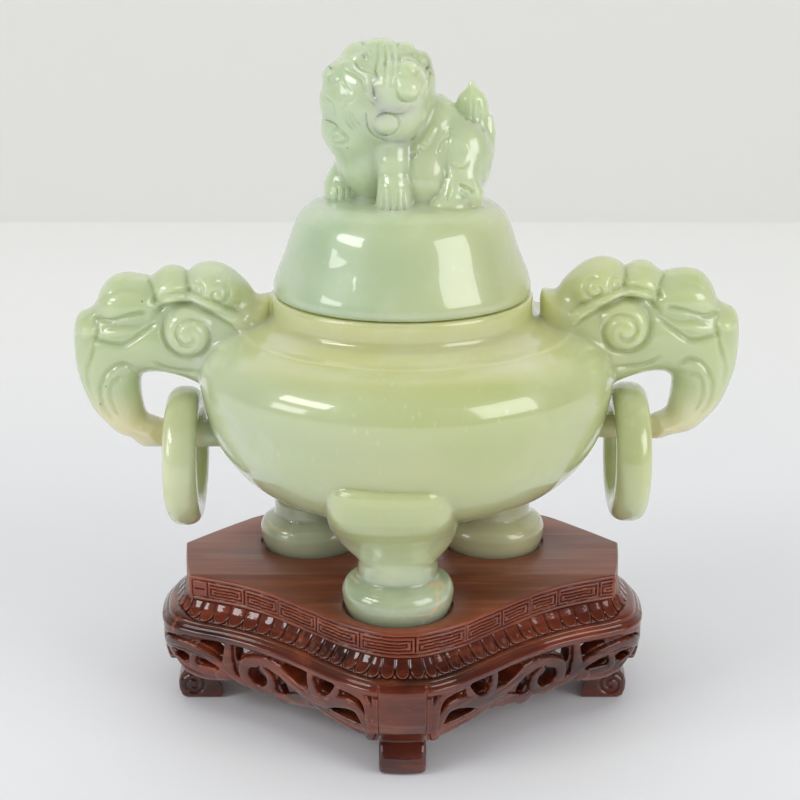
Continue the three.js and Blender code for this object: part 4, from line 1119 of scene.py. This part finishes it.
# a leg's side view: (distance from the frame's outline, height)
LEG_SIDE = [
    (-1.6, 26.4), (-1.05, 26.1), (-0.8, 25.8), (-0.72, 25.6), (-0.42, 25.35), (0.05, 24.9), (0.18, 24.3), (0.05, 23.7), (-0.12, 23.1), (-0.18, 22.2),
    (-0.2, 19), (-0.9, 15.5), (-2.6, 12.4), (-4.2, 10.6), (-5.5, 9.2), (-5.7, 8.4), (-4.9, 7.8), (-3.9, 6.4), (-3.4, 4.6), (-3.5, 2.4), (-4.2, 0.6), (-5.4, 0.0),
    (-8, 0.0), (-11, 0.0), (-13.4, 0.0), (-14.3, 1.2), (-13.9, 3.6), (-12.6, 6.4), (-10.6, 10), (-9.3, 15), (-9.0, 20), (-9.0, 26.4), (-6, 26.4), (-3.5, 26.4)]


def make_leg(name, angle, r):
    F = Field((-6.6, -r - 1.0, -0.6), (6.6, -r + 15.2, 27.0), 0.27)
    a = math.radians(-angle)
    c = TRACK.c
    loc = np.stack([c[:, 0] * math.cos(a) - c[:, 1] * math.sin(a), c[:, 0] * math.sin(a) + c[:, 1] * math.cos(a)], 1)
    loc = loc[(loc[:, 1] < 0) & (np.abs(loc[:, 0]) < 14)]
    loc = loc[np.argsort(loc[:, 0])][::3]
    X, Y = np.meshgrid(F.ax[0].astype(float), F.ax[1].astype(float), indexing="ij")
    d, _ = line_dist(X, Y, loc)
    n = np.where(Y < np.interp(X, loc[:, 0], loc[:, 1]), d, -d)
    tn, tz = np.arange(-16.5, 2.6, 0.15), np.arange(-2, 29, 0.15)
    tab = area_dist(tn[:, None], tz[None, :], LEG_SIDE)
    ni = np.clip((n - tn[0]) / 0.15, 0, len(tn) - 1.001)
    i = ni.astype(int)
    t = (ni - i)[:, :, None]
    zi = (F.ax[2].astype(float) - tz[0]) / 0.15
    j = zi.astype(int)
    w = zi - j
    G = tab[:, j] * (1 - w) + tab[:, j + 1] * w
    f = G[i] * (1 - t) + G[i + 1] * t
    z = F.ax[2][None, None, :].astype(float)
    k = 0.12 + 1.1 * sstep(12.5, 8.5, z)
    side = np.abs(X)[:, :, None] - LEG_HALF
    h = np.maximum(k - np.abs(f - side), 0) / k
    F.f = (np.maximum(f, side) + h * h * k * 0.25).astype(np.float32)
    th = np.linspace(0.6, 0.6 + 1.7 * 2 * math.pi, 40)
    rad = np.linspace(3.5, 0.7, 40)
    for sx in (-1, 1):
        pts = [(sx * 5.95, -(r - 8.0 + R * math.cos(q)), 4.1 + R * math.sin(q)) for q, R in zip(th, rad)]
        F.rod(pts, np.linspace(0.55, 0.42, 40), 0.25, cut=True)
    F.rod([(-6, -r + 4.5, 8.3), (6, -r + 4.5, 8.3)], 0.4, 0.5, cut=True)
    p, q, nn = surface(F)
    b = math.radians(angle)
    R = np.array([[math.cos(b), -math.sin(b), 0], [math.sin(b), math.cos(b), 0], [0, 0, 1]])
    return build(f"stand_leg_{name}_carving", p @ R.T, q, nn @ R.T)


def caps(loop, holes=()):
    """Triangles filling a flat outline with holes; indices run over outline, then holes."""
    tri = tessellate_polygon([[Vector((float(x), float(y), 0)) for x, y in l] for l in [loop, *holes]])
    pts = np.vstack([loop, *holes])
    out = []
    for a, b, c in tri:
        u, v = pts[b] - pts[a], pts[c] - pts[a]
        out.append((a, b, c) if u[0] * v[1] - u[1] * v[0] > 0 else (a, c, b))
    return out


def banded(name, rows, holes=None):
    """A solid between stacked closed rows of points (rows, columns, 3) with flat ends.
    holes = (centres, radius, depth, steps) are round sinkings in the top."""
    R, C, _ = rows.shape
    verts = rows.reshape(-1, 3)
    i, j = np.meshgrid(np.arange(R - 1), np.arange(C), indexing="ij")
    a, b = i * C + j, i * C + (j + 1) % C
    faces = [tuple(f) for f in np.stack([a, b, b + C, a + C], -1).reshape(-1, 4).tolist()]
    mats = [0] * len(faces)
    top = (R - 1) * C
    for x, y, z in caps(rows[0, :, :2]):
        faces.append((x, z, y)); mats.append(1)
    extra, loops = [], []
    base = len(verts)
    if holes:
        centres, rad, dep, steps = holes
        th = np.arange(steps) * 2 * math.pi / steps
        zt = rows[-1, 0, 2]
        for cx, cy in centres:
            prof = [(rad, zt), (rad - 0.18, zt - 0.07), (rad - 0.25, zt - 0.25), (rad - 0.25, zt - dep)]
            rings = [np.column_stack([cx + r * np.cos(th), cy + r * np.sin(th), np.full(steps, z)]) for r, z in prof]
            loops.append((base + len(extra) * 0, rings))
    verts = [verts]
    idx = base
    hole_ids = []
    for _, rings in loops:
        ids = []
        for r in rings:
            verts.append(r)
            ids.append(idx)
            idx += len(r)
        n = len(rings[0])
        for k in range(len(ids) - 1):
            for m in range(n):
                faces.append((ids[k] + m, ids[k] + (m + 1) % n, ids[k + 1] + (m + 1) % n, ids[k + 1] + m)[::-1][::-1]); mats.append(1)
        faces.append(tuple(ids[-1] + m for m in range(n))); mats.append(1)
        hole_ids.append((ids[0], rings[0][:, :2]))
    for tri in caps(rows[-1, :, :2], [h[1] for h in hole_ids]):
        out = []
        for v in tri:
            if v < C:
                out.append(top + v)
            else:
                v -= C
                for first, pts in hole_ids:
                    if v < len(pts):
                        out.append(first + v)
                        break
                    v -= len(pts)
        faces.append(tuple(out)); mats.append(1)
    verts = np.vstack(verts)
    ob = mesh_from(name, verts / 1000.0, faces)
    ob.data.polygons.foreach_set("material_index", mats[:len(ob.data.polygons)])
    ob.data.set_sharp_from_angle(angle=math.radians(50))
    return ob


def make_petals():
    h = 0.22 * RES
    C = int(TRACK.len / h)
    s = np.arange(C) * TRACK.len / C
    side = TRACK.near(64, 0)
    w = np.zeros(C)
    for st in (side, TRACK.len - side):
        w = np.maximum(w, sstep(21, 12, np.abs(s - st)))
    nb, zb = -2.75 - 2.0 * w, 27.0 + 1.1 * w
    rows = []
    m0, m1 = 7, int(38 / RES)
    for k in range(m0):
        t = k / m0
        a = t * math.pi / 2
        rows.append((-1.62 + (nb + 1.62) * (1 - np.cos(a)) ** 0.9, FRAME_TOP + (zb - FRAME_TOP) * np.sin(a) ** 0.9, None))
    count = 84
    x = (np.mod(s / TRACK.len * count + 0.5, 1) - 0.5) * TRACK.len / count
    half = TRACK.len / count / 2
    for k in range(m1 + 1):
        t = k / m1
        n = nb + (-6.3 - nb) * t
        z = zb + (PETAL_TOP - zb) * t
        L = np.hypot(-6.3 - nb, PETAL_TOP - zb)
        v = t * L
        v0 = half + 0.05
        d = np.where(v > v0, np.abs(x), np.hypot(x, v - v0)) - (half - 0.16)
        on = sstep(0.16, -0.22, d)
        tip = sstep(3.4, 0.7, v)
        rise = on * (0.30 + 0.24 * (1 - np.clip(x / half, -1, 1) ** 2) + 0.80 * tip)
        rise += 0.22 * np.exp(-((d + 0.42) / 0.2) ** 2) * sstep(4.2, 2.0, v)
        xb = half - np.abs(x)
        rise = np.maximum(rise, 0.85 * np.sqrt(np.clip(1 - (xb / 0.55) ** 2 - ((v - 0.75) / 0.62) ** 2, 0, 1)))
        fade = sstep(0.0, 0.25, v) * sstep(L, L - 0.4, v)
        rise = rise * fade
        c, q = 0.62, 0.35
        rows.append((n + rise * c, z + rise * q * 0.5 * fade, None))
    P = []
    for n, z, _ in rows:
        X, Y = TRACK.put(s, n)
        P.append(np.column_stack([X, Y, np.minimum(z, PETAL_TOP)]))
    P = np.array(P)
    P[0, :, 2] = FRAME_TOP
    P[-1, :, 2] = PETAL_TOP
    return banded("petal_board_carving", P)


def board_outline():
    """Points, outward normals, length along, distance along to the nearest corner, and total length of the top board's
    outline.
    """
    mirror = lambda pts: [(-x, y) for x, y in pts][::-1]
    segs = [spline(mirror(BOARD_FRONT)[:-1] + BOARD_FRONT, 24), spline(BOARD_SIDE, 40), spline(BOARD_BACK + mirror(BOARD_BACK)[1:], 24), spline(mirror(BOARD_SIDE), 40)]
    P, N, S, K = [], [], [], []
    s0 = 0.0
    step = 0.21 * RES
    ends = []
    for k, g in enumerate(segs):
        L = np.concatenate([[0], np.cumsum(np.hypot(*np.diff(g, axis=0).T))])
        n = int(round((L[-1] - 1.2) / step))
        at = np.concatenate([[0], 0.6 + (L[-1] - 1.2) * np.arange(n + 1) / n])
        p = np.stack([np.interp(at, L, g[:, i]) for i in (0, 1)], 1)
        q = np.stack([np.interp(at + 0.05, L, g[:, i]) - np.interp(at - 0.05, L, g[:, i]) for i in (0, 1)], 1)
        q /= np.hypot(*q.T)[:, None]
        ends.append((q[0], q[-1] if k < 9 else None))
        P.append(p); N.append(np.stack([q[:, 1], -q[:, 0]], 1)); S.append(s0 + at); K.append(np.minimum(at, L[-1] - at))
        s0 += L[-1]
    for k in range(4):
        a, b = N[k - 1][-1], N[k][0]
        N[k][0] = (a + b) / (1 + a @ b)
    return np.vstack(P), np.vstack(N), np.concatenate(S), np.concatenate(K), s0


def make_board():
    P, N, S, K, total = board_outline()
    front_len = S[np.argmin(np.hypot(P[:, 0] - 55.4, P[:, 1] + 10.4))]
    zs = np.concatenate([[PETAL_TOP, PETAL_TOP + 0.15, PETAL_TOP + 0.35], np.arange(PETAL_TOP + 0.5, BOARD_TOP - 0.6, 0.16 * RES), [BOARD_TOP - 0.55, BOARD_TOP - 0.38, BOARD_TOP - 0.2, BOARD_TOP - 0.08, BOARD_TOP]])
    inset = np.interp(zs, [PETAL_TOP, PETAL_TOP + 0.15, PETAL_TOP + 0.35, BOARD_TOP - 0.55, BOARD_TOP - 0.38, BOARD_TOP - 0.2, BOARD_TOP - 0.08, BOARD_TOP], [0.35, 0.1, 0, 0, 0.05, 0.17, 0.32, 0.55])
    # where one key-fret unit ends and the next begins, by length along the edge
    fx = [-54.7, -50.6, -40.6, -31.4, -21.4, -10.5, 3.2, 15.7, 24.9, 32.5, 40.0, 51.2]
    on_front = S <= front_len
    marks = [float(np.interp(v, P[on_front, 0], S[on_front])) for v in fx]
    s = front_len + 3.0
    while s < total - 3:
        marks.append(s)
        s += 12.4
    U, Z = S[:, None], zs[None, :]
    wob = 0.06 * np.sin(U * 0.9) + 0.03 * np.sin(U * 2.3 + 1)
    D = np.full((len(S), len(zs)), 9.0)

    def line(u0, z0, u1, z1, w=0.0):
        m = (S > min(u0, u1) - 0.8) & (S < max(u0, u1) + 0.8)
        if not m.any():
            return
        i = np.where(m)[0]
        sl = slice(i[0], i[-1] + 1)
        uu, zz = U[sl], Z + wob[sl]
        dx, dz = u1 - u0, z1 - z0
        t = np.clip(((uu - u0) * dx + (zz - z0) * dz) / (dx * dx + dz * dz), 0, 1)
        D[sl] = np.minimum(D[sl], np.hypot(uu - u0 - t * dx, zz - z0 - t * dz) - w)

    rng = np.random.default_rng(5)
    for k, m in enumerate(marks):
        nxt = marks[k + 1] if k + 1 < len(marks) else m + 12.4
        if nxt - m > 17:
            nxt = m + 10
        j = lambda: float(rng.uniform(-0.12, 0.12))
        line(m, 32.9, m, 36.5)
        a, b = m + 1.0, nxt - 1.0
        if b - a < 3.0:
            line(a, 34.6, b, 34.6)
            continue
        line(a, 35.9 + j(), b, 35.9 + j())
        line(b, 35.9, b, 33.3)
        line(b, 33.3, a, 33.3 + j())
        line(a, 33.3, a, 35.0)
        line(a, 35.0, b - 1.2, 35.0 + j())
        line(b - 1.2, 35.0, b - 1.2, 34.15)
        line(b - 1.2, 34.15, a + 1.2 + j(), 34.15)
    edge = sstep(0.5, 1.0, K)[:, None]
    groove = 0.50 * sstep(0.30, 0.08, D)
    border = np.maximum(0.42 * np.exp(-((Z + wob * 0.6 - 36.85) / 0.2) ** 2), 0.42 * np.exp(-((Z + wob * 0.6 - 32.35) / 0.2) ** 2))
    rough = 0.05 * np.sin(U * 7.3 + Z * 3.1) * np.sin(U * 4.1 - Z * 6.7) * sstep(31.9, 32.4, Z) * sstep(37.2, 36.8, Z)
    dent = np.maximum(groove, border) * edge + rough * edge
    off = -(inset[None, :] + dent)
    rows = np.stack([P[:, 0, None] + N[:, 0, None] * off, P[:, 1, None] + N[:, 1, None] * off, np.broadcast_to(Z, off.shape)], -1).transpose(1, 0, 2)
    return banded("stand_top_board_carving", rows, ([(fx, fy) for fx, fy, _ in FEET], 14.05, 1.2, 160))


def make_pin(name, x, y):
    """A short fluted dowel with chamfered ends."""
    prof = [(0.0, 28.2), (1.05, 28.2), (1.5, 28.75), (1.5, 34.25), (1.05, 34.8), (0.0, 34.8)]
    n = 48
    th = np.arange(n) * 2 * math.pi / n
    verts, faces = [(x, y, 28.2)], []
    for r, z in prof[1:-1]:
        flute = np.where(np.arange(n) % 4 == 0, 0.10, 0.0) * (r > 1.2)
        verts += [(x + (r - q) * math.cos(t), y + (r - q) * math.sin(t), z) for t, q in zip(th, flute)]
    verts.append((x, y, 34.8))
    for m in range(n):
        faces.append((0, 1 + (m + 1) % n, 1 + m))
        for k in range(3):
            a, b = 1 + k * n + m, 1 + k * n + (m + 1) % n
            faces.append((a, b, b + n, a + n))
        faces.append((1 + 3 * n + m, 1 + 3 * n + (m + 1) % n, 1 + 4 * n))
    ob = mesh_from(name, np.array(verts) / 1000.0, faces)
    ob.data.set_sharp_from_angle(angle=math.radians(35))
    return ob


def make_stand():
    root = "stand"
    for ob, node in make_aprons():
        place(ob, root, [wood_carved], "lacquered_wood", node)
    for name, angle, r in LEGS:
        place(make_leg(name, angle, r), root, [wood_carved], "lacquered_wood", "stand_leg_" + name)
    place(make_petals(), root, [wood_carved, wood_carved], "lacquered_wood", "petal_board")
    place(make_board(), root, [wood_edge, wood_top], "rosewood_top", "stand_top_board")
    for i, (x, y) in enumerate([(39, -9), (-39, -9), (14, 36), (-14, 36)]):
        place(make_pin(f"board_pin_{i + 1}_dowel", x, y), root, [wood_pin], "pin_wood", f"board_pin_{i + 1}")

# ------------------------------------------------------------------ build
jade_body, jade_lid, jade_ring = jade("jade_body", "body"), jade("jade_lid", "lid"), jade("jade_ring", "ring")
wood_top, wood_edge, wood_carved = wood("rosewood_top", "top"), wood("rosewood_edge", "edge"), wood("lacquered_wood", "carved")
wood_pin = wood("pin_wood", "pin")


def place(ob, body, mats, slot, *nodes):
    for m in mats:
        ob.data.materials.append(m)
    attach(ob, body)
    if nodes:
        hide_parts(*nodes)
    return ob


stage()
place(make_body(), "censer", [jade_body], "jade_body", "censer_body")
place(make_lid(), "lid", [jade_lid], "jade_lid", "lid")
place(make_ring("ring_left_jade", -1), "ring_left", [jade_ring], "jade_ring", "ring_left")
place(make_ring("ring_right_jade", 1), "ring_right", [jade_ring], "jade_ring", "ring_right")
make_stand()
for name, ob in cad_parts.items():
    if not ob.hide_render:
        ob.data.materials.clear()
        ob.data.materials.append(wood_carved)
